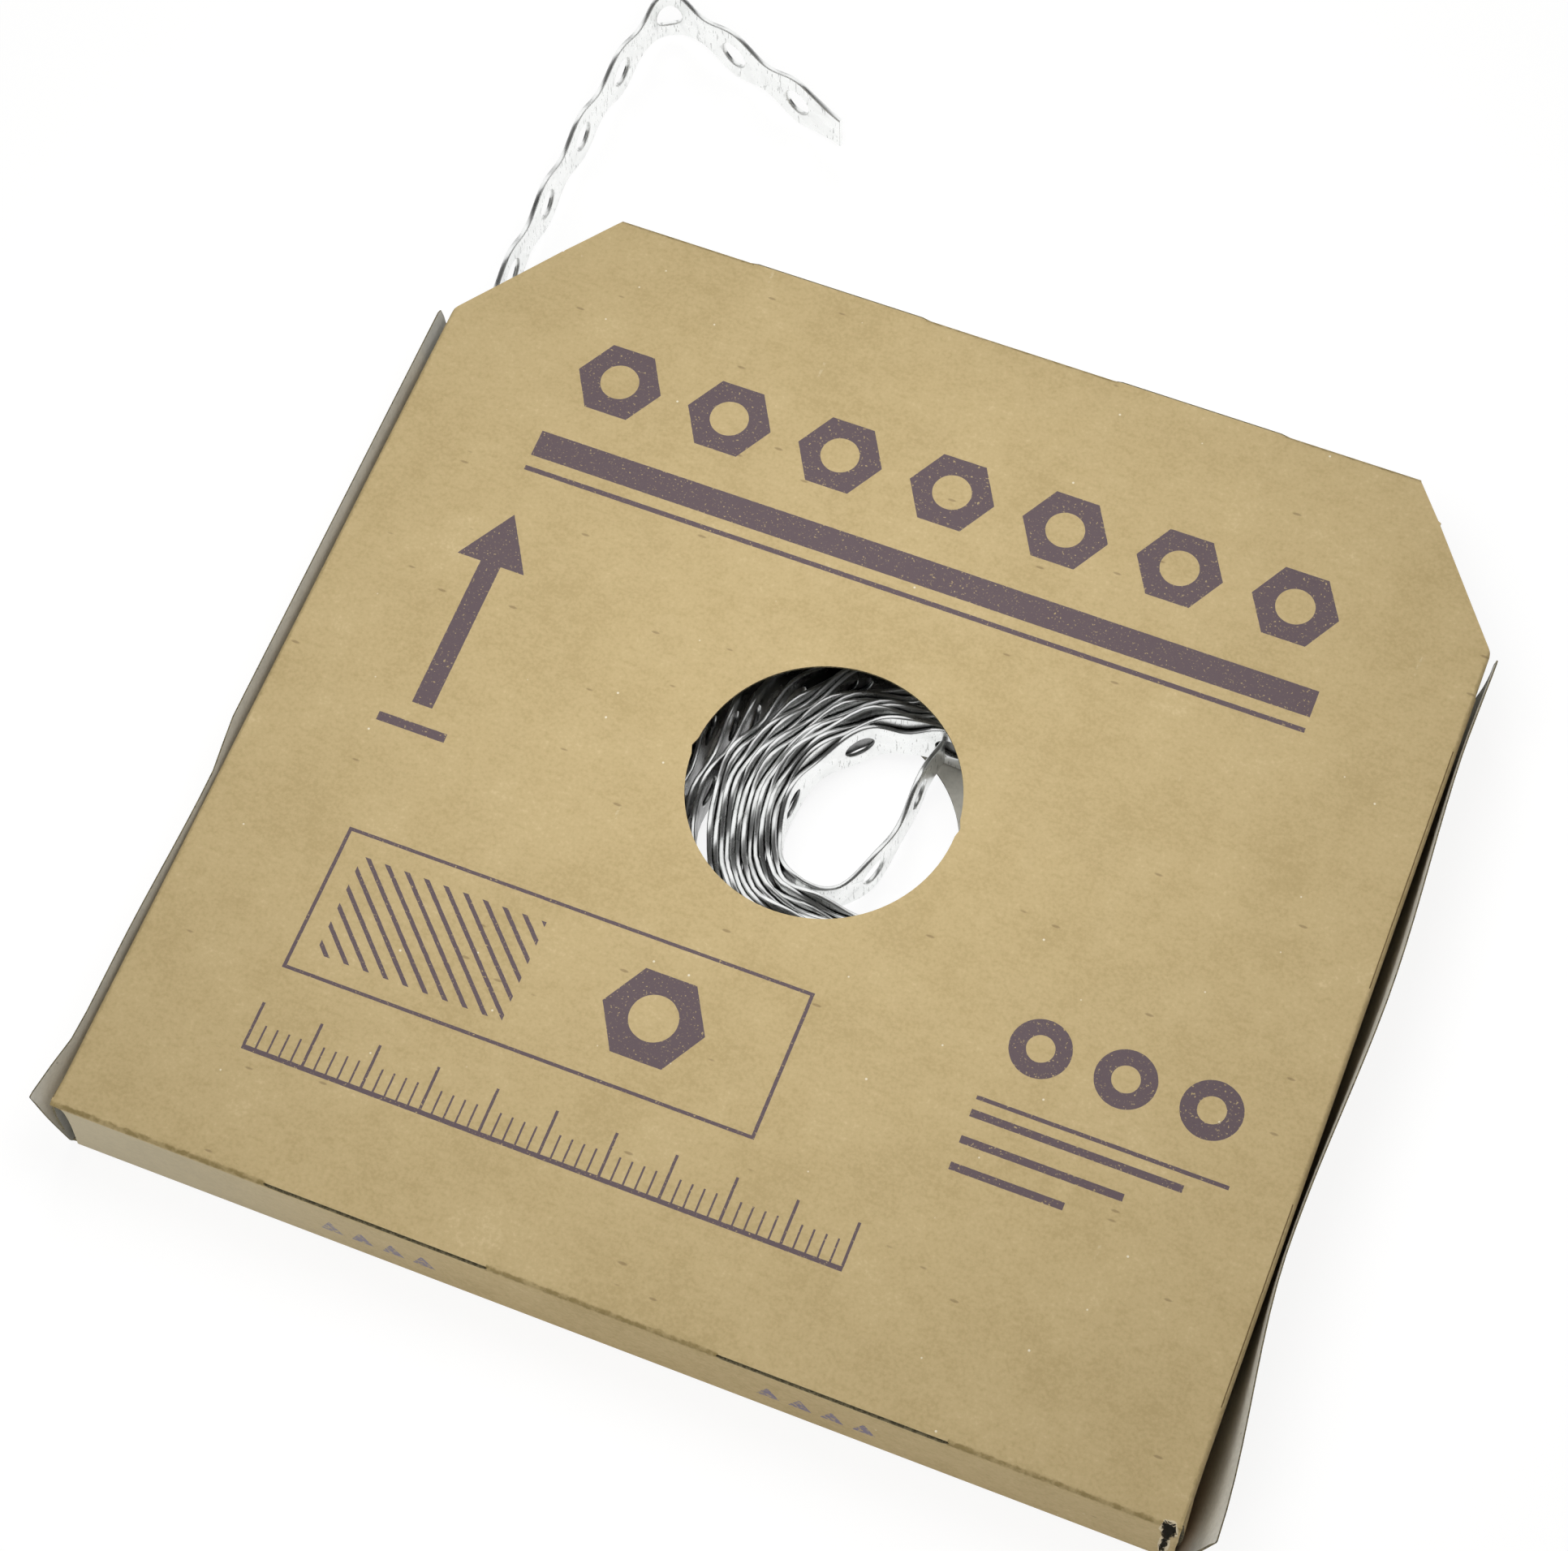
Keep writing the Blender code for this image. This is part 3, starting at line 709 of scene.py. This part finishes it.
paper = blend(coverage * 0.96, paper, INK)

# two small groups of marks in blue ink on the bottom wall
mark = abs(repeat(flat_x, 2.6)) + wall_y * 0.42 < 4.6
groups = either(in_range(flat_x, 44.0, 65.0), in_range(flat_x, 117.0, 138.0))
marks = in_range(wall_y, 6.4, 10.6) * mark * groups * ramp(cloud(place, 1500.0), 0.36, 0.52)
paper = blend(marks * 0.9, paper, WALL_INK)

# painted sheen: the bottom wall's paper is painted paler towards its left end, standing in for the glare of
# the pale floor on it
sheen_share = ramp(flat_x + wobble * 12.0, 78.0, 4.0) * in_range(wall_y, 0.0, DEPTH - 0.9)
paper = blend(sheen_share * 0.5, paper, PAINTED_SHEEN)


# pale torn rim round the worn corner, and the cracked surface by the right fold
def oval(x, y, wide, high):
    return distance_to((flat_x - x) / wide, (wall_y - y) / high)


rim = maths("MINIMUM", oval(WORN_X, 16.0, 1.5, 2.45), oval(183.0, 8.2, 0.9, 5.4))
rim = ramp(rim + wobble * 0.5, 1.04, 0.92) * (flat_x > 180.0)
paper = blend(rim * 0.9, paper, TORN_RIM)
crack = in_range(flat_x + wobble * 0.16, WIDTH - 0.72, WIDTH - 0.52)
crack = crack * either(in_range(front_y, 20.0, 54.0), in_range(front_y, 92.0, 136.0))
paper = blend(crack * 0.85, paper, CRACK)
feed(shader, "Base Color", paper)
set_bump(shader, grain + crease * wobble * 2.5, 0.00012, 0.8)

LINER_DARK = shade(206, 203, 193)
LINER = shade(220, 217, 207)
LINER_SPECK = shade(104, 98, 88)
# painted shade and brown bounce light for the foot of the right flap
PAINTED_BROWN_SHADE = shade(176, 134, 78)

grey_liner, shader, place = new_material("grey_liner", 0.88)
grain = kraft_grain(place)
liner = blend(ramp(grain, 0.38, 0.62), LINER_DARK, LINER)
liner_marks = specks(place, 420.0, 0.14, 0.86, stretch=(0.6, 1.4, 1.0))
liner = blend(liner_marks * 0.35, liner, LINER_SPECK)

# painted shade: the right flap's liner is painted brown along the foot of its fold, standing in for the
# shade there and the brown light that the kraft throws into it
flap_x, flap_run = flat_axes(place.id_data)
brown_shade = ramp(flap_x, WIDTH + 9.0, WIDTH + 2.0) * ramp(flap_run, back_run(26.0), back_run(3.0))
brown_shade = brown_shade * (flap_x > WIDTH) * (flap_run < FOOT_WALL)
liner = blend(brown_shade * 0.6, liner, PAINTED_BROWN_SHADE)
feed(shader, "Base Color", liner)
set_bump(shader, grain, 0.0001, 0.7)


def bare_fibres(name, roughness, scale, low, high, dark, pale, depth):
    """The material of a cut or torn board's fibres."""
    made, shader, place = new_material(name, roughness)
    fibres = cloud(place, scale, detail=4.0)
    feed(shader, "Base Color", blend(ramp(fibres, low, high), dark, pale))
    set_bump(shader, fibres, depth, 0.8)
    return made


board_edge = bare_fibres(
    "board_edge", 0.9, 2600.0, 0.38, 0.60, shade(84, 78, 60), shade(130, 121, 94), 0.0001)
for material in (kraft_board, grey_liner, board_edge):
    carton_mesh.materials.append(material)
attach(carton_board, "root")
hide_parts("carton")


# Torn fibres. Where the lower right corner of the carton has worn through, the board's
# paper has split into pale ragged shreds that curl out of the hole.

SHREDS = 26
shred_mesh = bmesh.new()
for i in range(SHREDS):
    start = WORN_HOLE[i % len(WORN_HOLE)]
    after = WORN_HOLE[(i + 1) % len(WORN_HOLE)]
    share = (i * 0.37) % 1.0
    x = start[0] + (after[0] - start[0]) * share
    run = start[1] + (after[1] - start[1]) * share
    root = fold_point(x, run, 0.0)
    inward = Vector((WORN_X - x, 0.0, 0.0)).normalized()
    along = Vector((0.0, 0.0, 0.35 + 0.3 * math.sin(i * 2.3)))
    out = Vector((0.0, -0.12 - 0.16 * abs(math.sin(i * 1.7)), 0.0))
    reach = 0.35 + 0.35 * abs(math.sin(i * 1.3))
    tip = root + inward * reach + along * 0.5 + out
    base = [root - along * 0.5 - inward * 0.15, root + along * 0.5 - inward * 0.15,
            root + Vector((0.0, 0.14, 0.0)) - inward * 0.1]
    middle = root + inward * reach * 0.5 + out * 1.3
    low = [shred_mesh.verts.new(p * MM + CARTON_CORNER) for p in base]
    ring = [shred_mesh.verts.new((middle + (p - root) * 0.6) * MM + CARTON_CORNER) for p in base]
    point = shred_mesh.verts.new(tip * MM + CARTON_CORNER)
    shred_mesh.faces.new((low[0], low[1], low[2]))
    for a, b in ((0, 1), (1, 2), (2, 0)):
        shred_mesh.faces.new((low[a], ring[a], ring[b], low[b]))
        shred_mesh.faces.new((ring[a], point, ring[b]))
for vert in shred_mesh.verts:
    vert.co.y = max(vert.co.y, CARTON_CORNER.y)
    vert.co.z = min(vert.co.z, DEPTH * MM)
bmesh.ops.recalc_face_normals(shred_mesh, faces=shred_mesh.faces)
fibre_mesh = bpy.data.meshes.new("torn_fibres")
shred_mesh.to_mesh(fibre_mesh)
shred_mesh.free()
torn_fibres = link_object("torn_fibres", fibre_mesh)
fibre_mesh.materials.append(bare_fibres(
    "torn_paper", 0.95, 3000.0, 0.35, 0.62, shade(170, 150, 116), shade(226, 214, 188), 0.00008))
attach(torn_fibres, "root")


# Strap. Galvanised steel strip, punched with a hole at each pitch and sheared with wavy
# edges. Nearly ten metres lie loose on edge in the carton. The inner end makes a loop in the
# bore, and the outer end comes up the left side, leans over and is bent back at a hole.

STRAP_WIDTH = 12.0
STRAP_WAIST = 7.6
STRAP_THICKNESS = 0.8
HOLE = 5.3
PITCH = 15.5
SHEARED_EDGE = 0.18
WORN_EDGE = 0.21
SHARP_EDGE = 0.05
STRAP_LEVEL = 7.0
COIL_X = 104.0
COIL_Y = 95.2
COIL_RADIUS = 77.3
SEEN_RADIUS = 36.0
TURN_STATIONS = 180
COIL_TURNS = 34
LEAST_GAP = 0.86
EVEN_GAP = 0.95
LOOSE_GAP = 2.3
CLOSE_TURNS = 13
LANE = 3.1
LANE_STATIONS = 60
EXIT_ANGLE = -75.0
LONG_END = 1.1
FAR_END = 2.5
DRAWN_RISE = 6.9
LEAN_ANGLE = math.radians(8.0)
LEAN_RADIUS = 290.0
BEND_ANGLE = math.radians(103.0)
BEND_RADIUS = 4.0
BENT_PITCHES = 2.5
LOWEST_LIFT = -0.3
HIGHEST_LIFT = 3.8
END_PART = 0.005
MERGE_DISTANCE = 0.00002

# where the coil lies open: the turn, the angle, how far round, and by how much
OPENINGS = [(8.3, 112.0, 34.0, 3.4), (11.3, 140.0, 26.0, 2.2), (12.2, 150.0, 30.0, 2.4),
            (12.1, 203.0, 26.0, 2.0), (13.2, 150.0, 40.0, 2.4), (13.1, 205.0, 30.0, 0.4),
            (9.8, 300.0, 60.0, 0.5), (0.0, 238.6, 16.0, 1.25)]

# the loop in the bore, from its free end, and the innermost turn as (angle, radius)
LOOP = [(106.3, 111.4), (105.35, 106.8), (105.1, 101.3), (104.9, 95.6), (104.1, 90.2), (102.5, 85.3),
        (100.2, 81.6), (97.4, 79.7), (94.3, 79.2)]
LOOP_STEPS = 6
FIRST_TURN = [(-121.4, 20.9), (-114.0, 20.05), (-108.0, 19.3), (-98.0, 18.7), (-85.0, 18.6), (-60.0, 18.8),
              (-30.0, 19.1), (0.0, 19.0), (30.0, 18.6), (60.0, 18.0), (83.3, 17.2), (103.0, 15.9),
              (120.9, 16.4), (139.8, 16.1), (159.7, 16.4), (178.7, 17.2), (192.9, 17.95), (209.7, 18.85),
              (219.9, 19.6), (229.1, 19.7), (238.6, 18.7)]


def curl(knots, steps):
    """Points on a smooth line through knots."""
    points = [Vector(knots[0])]
    for i in range(len(knots) - 1):
        a, b = Vector(knots[i]), Vector(knots[i + 1])
        before = Vector(knots[max(i - 1, 0)])
        after = Vector(knots[min(i + 2, len(knots) - 1)])
        for step in range(1, steps + 1):
            t = step / steps
            points.append(0.5 * (2 * a + (b - before) * t + (2 * before - 5 * a + 4 * b - after) * t ** 2
                                 + (3 * a - before - 3 * b + after) * t ** 3))
    return points


def direction(angle):
    return Vector((math.cos(angle), math.sin(angle)))


def coil_radii():
    """The coil's radius at each station. Each turn lies a gap outside the one before it."""
    start = FIRST_TURN[-1][0]
    angles, radii = zip(*curl(FIRST_TURN, 8))
    total = TURN_STATIONS * COIL_TURNS + round((start - EXIT_ANGLE) / 360.0 * TURN_STATIONS)
    first = [start - 360.0 * i / TURN_STATIONS for i in range(TURN_STATIONS)]
    made = [float(np.interp(angle, angles, radii)) for angle in first]
    for i in range(total - TURN_STATIONS + 1):
        turns = i / TURN_STATIONS
        angle = math.radians(start - 360.0 * turns)
        even = EVEN_GAP + (LOOSE_GAP - EVEN_GAP) * smooth_rise((turns - CLOSE_TURNS + 2.0) / 4.0)
        wander = noise.noise(Vector((*direction(angle), turns)) * 2.3)
        wander *= smooth_rise((COIL_TURNS - 2.0 - turns) / 6.0)
        gap = LEAST_GAP + (even - LEAST_GAP) * max(0.05, 1.0 + 2.2 * wander)
        degrees = math.degrees(angle) % 360.0
        for turn, middle, spread, extra in OPENINGS:
            open_here = smooth_rise(1.0 - abs(degrees - middle) / spread)
            gap += extra * open_here * smooth_rise(1.0 - abs(turns - turn) / 0.8)
        made.append(made[i] + gap)
    last = len(made) - 1
    for j in range(TURN_STATIONS):
        column = range(last - j, -1, -TURN_STATIONS)
        outside = made[last - j] + LOOSE_GAP * j / TURN_STATIONS
        stretch = (COIL_RADIUS - SEEN_RADIUS) / (outside - SEEN_RADIUS)
        for i in column:
            if made[i] > SEEN_RADIUS:
                made[i] = SEEN_RADIUS + (made[i] - SEEN_RADIUS) * stretch
    return made


def strap_route():
    """The strap's middle line (x, y, level) from its inner end to its outer end."""
    centre = Vector((COIL_X, COIL_Y))
    route = curl(LOOP, LOOP_STEPS)[:-1]
    start = FIRST_TURN[-1][0]
    for i, radius in enumerate(coil_radii()):
        route.append(centre + direction(math.radians(start - 360.0 * i / TURN_STATIONS)) * radius)
    coil_points = len(route)
    lane_radius = COIL_X - LANE
    sweep = 180.0 + EXIT_ANGLE
    for i in range(1, LANE_STATIONS + 1):
        share = i / LANE_STATIONS
        radius = COIL_RADIUS + (lane_radius - COIL_RADIUS) * smooth_rise(share)
        route.append(centre + direction(math.radians(EXIT_ANGLE - sweep * share)) * radius)

    def go(length, turn=0.0):
        """Adds a straight length, or an arc of that length that turns to the right."""
        pieces = max(8, round(length / 1.2))
        for _ in range(pieces):
            go.heading -= turn / pieces / 2
            route.append(route[-1] + direction(go.heading) * length / pieces)
            go.heading -= turn / pieces / 2

    go.heading = math.pi / 2
    go(HEIGHT + DRAWN_RISE - COIL_Y)
    go(LEAN_RADIUS * LEAN_ANGLE, LEAN_ANGLE)
    go(BEND_RADIUS * BEND_ANGLE, BEND_ANGLE)
    go(BENT_PITCHES * PITCH - BEND_RADIUS * BEND_ANGLE / 2 + FAR_END)
    lifted = []
    for i, point in enumerate(route):
        inside = smooth_rise(i / 300.0) * smooth_rise((coil_points - i) / 200.0)
        lift = 1.5 + 2.4 * noise.noise(Vector((i * 0.02, 5.0, 2.0)))
        lift = min(max(lift, LOWEST_LIFT), HIGHEST_LIFT)
        angle = math.degrees(math.atan2(point.y - COIL_Y, point.x - COIL_X))
        sunk = smooth_rise((75.0 - abs(angle - 115.0)) / 45.0) * smooth_rise((i - 500.0) / 600.0)
        lift += (LOWEST_LIFT - lift) * sunk
        lifted.append(Vector((point.x, point.y, STRAP_LEVEL + inside * lift)))
    return lifted, coil_points


def strap_cell(spoke_shares, near_bevel, far_bevel):
    """One pitch of strap, flat in the XZ plane and closed but for its two ends, as a mesh."""
    quarter = len(spoke_shares)
    spokes = 4 * quarter
    half_pitch = PITCH / 2
    bm = bmesh.new()

    def half_width(x):
        wave = math.cos(2.0 * math.pi * x / PITCH)
        return (STRAP_WIDTH + STRAP_WAIST) / 4 + (STRAP_WIDTH - STRAP_WAIST) / 4 * wave

    outlines = [(1.0, 0.0)] + [(share, 1.0) for share in spoke_shares[:-1]] + [(0.0, 1.0)]
    thick = STRAP_THICKNESS / 2
    rings = []
    for i in range(spokes):
        angle = 2.0 * math.pi * i / spokes
        step = i % (2 * quarter)
        along, across = outlines[min(step, 2 * quarter - step)]
        cosine, sine = math.cos(angle), math.sin(angle)
        x = math.copysign(along * half_pitch, cosine) if along else 0.0
        side = math.copysign(1.0, sine) * across
        z = side * half_width(x)
        hole_x, hole_z = cosine * HOLE / 2, sine * HOLE / 2
        ring = []
        for y, bevel in ((1.0, near_bevel), (-1.0, far_bevel)):
            grow = 1.0 + bevel / (HOLE / 2)
            flat_level, wall_level = y * thick, y * (thick - bevel)
            ring.append(((hole_x, wall_level, hole_z), (hole_x * grow, flat_level, hole_z * grow),
                         (x, flat_level, z - side * bevel), (x, wall_level, z)))
        if near_bevel:
            corners = [*ring[0], *reversed(ring[1])]
        else:
            corners = [ring[0][0], ring[0][3], ring[1][3], ring[1][0]]
        rings.append([bm.verts.new(corner) for corner in corners])
    count = len(rings[0])
    rim = {2, 3, 4} if near_bevel else {1}
    for i in range(spokes):
        here, after = rings[i], rings[(i + 1) % spokes]
        at_end = i % (2 * quarter) in (0, 2 * quarter - 1)
        for k in range(count):
            if at_end and k in rim:
                continue
            bm.faces.new((here[k], here[(k + 1) % count], after[(k + 1) % count], after[k]))
    bmesh.ops.remove_doubles(bm, verts=bm.verts, dist=0.001)
    bmesh.ops.translate(bm, verts=bm.verts, vec=(half_pitch, 0.0, 0.0))
    bmesh.ops.scale(bm, verts=bm.verts, vec=(MM, MM, MM))
    bmesh.ops.recalc_face_normals(bm, faces=bm.faces)
    mesh = bpy.data.meshes.new("strap_cell")
    bm.to_mesh(mesh)
    bm.free()
    return mesh


route_points, coil_points = strap_route()
steps = [(b - a).length for a, b in zip(route_points, route_points[1:])]
route_length = sum(steps)
pitches = round((route_length - LONG_END - FAR_END) / PITCH)
real_pitch = (route_length - LONG_END - FAR_END) / pitches
route_curve = bpy.data.curves.new("strap_route", "CURVE")
route_curve.dimensions = "3D"
route_line = route_curve.splines.new("POLY")
route_line.points.add(len(route_points) - 1)
for point, spot in zip(route_line.points, route_points):
    point.co = (*(spot * MM + CARTON_CORNER), 1.0)
strap_guide = link_object("strap_guide", route_curve)


def slope(value, low, high, first, last):
    """first at low and last at high, evenly, and level beyond them."""
    made = add_node(value.socket.id_data, "ShaderNodeMapRange",
                    {"Value": value, "From Min": low, "From Max": high, "To Min": first, "To Max": last})
    return Value(made.outputs[0])


def strap_tree():
    """Geometry nodes that repeat the cell and bend it along the route."""
    made = bpy.data.node_groups.new("strap_along_route", "GeometryNodeTree")
    sockets = {}
    for name, kind in (("Cell", "Geometry"), ("Route", "Object"), ("First", "Int"), ("Pitches", "Int"),
                       ("Pitch", "Float"), ("Lean", "Float"), ("All", "Int"), ("Long End", "Float"),
                       ("Finish", "Material")):
        socket = made.interface.new_socket(name=name, in_out="INPUT", socket_type="NodeSocket" + kind)
        sockets[name] = socket.identifier
    made.interface.new_socket(name="Strap", in_out="OUTPUT", socket_type="NodeSocketGeometry")
    given = made.nodes.new("NodeGroupInput").outputs
    pitch = Value(given["Pitch"])
    long_end = Value(given["Long End"])

    def geo(kind, inputs=(), **settings):
        return add_node(made, kind, inputs, **settings).outputs

    def vectors(operation, *values):
        return geo("ShaderNodeVectorMath", enumerate(values), operation=operation)[0]

    # a straight strip of cells, which keeps its flat place as an attribute
    step = geo("ShaderNodeCombineXYZ", {0: pitch})[0]
    start = geo("ShaderNodeCombineXYZ", {0: pitch * Value(given["First"])})[0]
    line = geo("GeometryNodeMeshLine", {"Count": given["Pitches"], "Start Location": start, "Offset": step},
               mode="OFFSET")[0]
    cells = geo("GeometryNodeInstanceOnPoints", {"Points": line, "Instance": given["Cell"]})[0]
    strip = geo("GeometryNodeRealizeInstances", {0: cells})[0]
    strip = geo("GeometryNodeMergeByDistance", {"Geometry": strip, "Distance": MERGE_DISTANCE})[0]
    flat_place = geo("GeometryNodeInputPosition")[0]
    strip = geo("GeometryNodeStoreNamedAttribute",
                {"Geometry": strip, "Name": "strap_flat", "Value": flat_place},
                data_type="FLOAT_VECTOR", domain="POINT")[0]
    along, across, up = axes(flat_place)

    # the first and the last millimetres are drawn out to the strap's cut ends
    far_end = pitch * Value(given["All"])
    near_stretch = slope(along, 0.0, END_PART, 0.0, long_end)
    far_stretch = slope(along, far_end - END_PART, far_end, long_end, long_end + FAR_END * MM)
    length = along + (near_stretch + far_stretch - long_end)

    # each point goes to its length along the route, and the turns lean a little to and fro
    guide = geo("GeometryNodeObjectInfo", {"Object": given["Route"]})["Geometry"]
    spot = geo("GeometryNodeSampleCurve", {"Curves": guide, "Length": length}, mode="LENGTH",
               use_all_curves=False)
    side = vectors("NORMALIZE", vectors("CROSS_PRODUCT", spot["Tangent"], (0.0, 0.0, 1.0)))
    wave = geo("ShaderNodeTexNoise", {"W": along, "Scale": 22.0, "Detail": 1.0}, noise_dimensions="1D")[0]
    sideways = (Value(wave) - 0.5) * Value(given["Lean"]) * up + across
    shift = geo("ShaderNodeVectorMath", {0: side, "Scale": sideways}, operation="SCALE")[0]
    raised = geo("ShaderNodeCombineXYZ", {2: up})[0]
    bent = vectors("ADD", vectors("ADD", spot["Position"], shift), raised)
    strip = geo("GeometryNodeSetPosition", {"Geometry": strip, "Position": bent})[0]
    strip = geo("GeometryNodeRealizeInstances", {0: strip})[0]
    strip = geo("GeometryNodeSetMaterial", {"Geometry": strip, "Material": given["Finish"]})[0]
    add_node(made, "NodeGroupOutput", {0: strip})
    return made, sockets


ZINC_DARK = (0.92, 0.93, 0.92, 1.0)
ZINC = (0.97, 0.98, 0.97, 1.0)
ZINC_BLOOM = (0.78, 0.79, 0.78, 1.0)
DARK_DASH = (0.34, 0.35, 0.34, 1.0)
# painted shade for the gaps between the coil's turns
PAINTED_GAP_SHADE = grey(0.10)
FACE = (STRAP_THICKNESS / 2 - 0.01) * MM

steel, shader, _ = new_material("galvanised_steel", 0.34, metallic=1.0)
tree = steel.node_tree
strip_place = add_node(tree, "ShaderNodeAttribute", attribute_name="strap_flat").outputs["Vector"]
strip_along, strip_side, strip_up = axes(strip_place)
spangle = add_node(tree, "ShaderNodeTexVoronoi", {"Vector": strip_place, "Scale": 420.0})
spangle_tone = add_node(tree, "ShaderNodeSeparateColor", {0: spangle.outputs["Color"]}).outputs[0]
bloom = cloud(strip_place, 260.0, detail=4.0)
dashes = cloud(strip_place, 1000.0, stretch=(3.2, 1.0, 0.42), detail=2.0)
on_face = abs(strip_side) > FACE
dashes = ramp(dashes, 0.61, 0.67) * on_face

# painted shade: the faces that lie against the next turn are painted dark below their edges, standing in
# for the shade deep in the gaps between the turns
loop_points = LOOP_STEPS * (len(LOOP) - 1)
loop_length = sum(steps[:loop_points]) * MM
turn_length = sum(steps[:loop_points + TURN_STATIONS]) * MM
coil_length = sum(steps[:coil_points]) * MM
outer_face = in_range(strip_along, loop_length, coil_length) * (strip_side < 0.0)
inner_face = in_range(strip_along, turn_length, coil_length) * (strip_side > 0.0)
gap_shade = either(outer_face, inner_face) * ramp(strip_up, 4.4 * MM, 2.2 * MM) * on_face
zinc = blend(Value(spangle_tone), ZINC_DARK, ZINC)
zinc = blend(ramp(bloom, 0.50, 0.75) * 0.35, zinc, ZINC_BLOOM)
zinc = blend(dashes * 0.6, zinc, DARK_DASH)
zinc = blend(gap_shade * 0.85, zinc, PAINTED_GAP_SHADE)
feed(shader, "Base Color", zinc)

# the drawn end's worn edge is duller than its face
worn_edge = in_range(strip_side, FACE - (WORN_EDGE - 0.03) * MM, FACE) * (strip_along > coil_length)
feed(shader, "Roughness", either(slope(bloom, 0.3, 0.7, 0.22, 0.38), worn_edge * 0.70))
set_bump(shader, cloud(strip_place, 2400.0) - dashes, 0.00002, 0.6)

route_nodes, route_sockets = strap_tree()
FINE_SPOKES = (1.0, 0.90, 0.78, 0.66, 0.54, 0.42, 0.31, 0.20, 0.10, 0.0)
EVEN_SPOKES = (1.0, 0.76, 0.50, 0.24, 0.0)
PLAIN_SPOKES = (1.0, 0.50, 0.0)
LOOP_CELLS = 14
TURN_CELLS = 150
TAIL_CELLS = 14
TURN_LEAN = 0.01
hidden_cells = pitches - LOOP_CELLS - TURN_CELLS - TAIL_CELLS
sections = [
    ("strap_inner_loop", 0, LOOP_CELLS, FINE_SPOKES, SHEARED_EDGE, SHEARED_EDGE, 0.0),
    ("strap_inner_turns", LOOP_CELLS, TURN_CELLS, EVEN_SPOKES, SHEARED_EDGE, SHEARED_EDGE, TURN_LEAN),
    ("strap_hidden_turns", LOOP_CELLS + TURN_CELLS, hidden_cells, PLAIN_SPOKES, 0.0, 0.0, TURN_LEAN),
    ("strap_drawn_end", pitches - TAIL_CELLS, TAIL_CELLS, FINE_SPOKES, WORN_EDGE, SHARP_EDGE, 0.0),
]


def round_edges(mesh):
    """Shades the sheared edges as round: a corner takes its larger face's direction."""
    count = len(mesh.polygons)
    normals = np.zeros((count, 3))
    areas = np.zeros(count)
    mesh.polygons.foreach_get("normal", normals.ravel())
    mesh.polygons.foreach_get("area", areas)
    is_cap = np.array([len(p.vertices) > 4 for p in mesh.polygons])
    corner_face = np.repeat(np.arange(count), [len(p.vertices) for p in mesh.polygons])
    corner_vert = np.zeros(len(mesh.loops), dtype=int)
    mesh.loops.foreach_get("vertex_index", corner_vert)
    weighted = np.zeros((len(mesh.vertices), 3))
    side_corner = ~is_cap[corner_face]
    shares = normals[corner_face] * areas[corner_face, None]
    np.add.at(weighted, corner_vert[side_corner], shares[side_corner])
    weighted /= np.maximum(np.linalg.norm(weighted, axis=1), 1e-12)[:, None]
    corner_normals = np.where(side_corner[:, None], weighted[corner_vert], normals[corner_face])
    mesh.normals_split_custom_set(corner_normals.tolist())


for name, first, count, spokes, near_bevel, far_bevel, lean in sections:
    cell = link_object("cell", strap_cell(spokes, near_bevel, far_bevel))
    bend = cell.modifiers.new("bend", "NODES")
    bend.node_group = route_nodes
    for key, value in (("Route", strap_guide), ("First", first), ("Pitches", count),
                       ("Pitch", real_pitch * MM), ("Lean", lean), ("All", pitches),
                       ("Long End", LONG_END * MM), ("Finish", steel)):
        bend[route_sockets[key]] = value
    graph = bpy.context.evaluated_depsgraph_get()
    mesh = bpy.data.meshes.new_from_object(cell.evaluated_get(graph))
    bpy.data.objects.remove(cell, do_unlink=True)
    bm = bmesh.new()
    bm.from_mesh(mesh)
    bmesh.ops.holes_fill(bm, edges=[e for e in bm.edges if e.is_boundary], sides=0)
    bmesh.ops.recalc_face_normals(bm, faces=bm.faces)
    for face in bm.faces:
        face.smooth = True
    bm.to_mesh(mesh)
    bm.free()
    if near_bevel:
        round_edges(mesh)
    else:
        mesh.set_sharp_from_angle(angle=SHARP_ANGLE)
    strap_piece = link_object(name, mesh)
    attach(strap_piece, "root")
    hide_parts("strap")
bpy.data.objects.remove(strap_guide, do_unlink=True)
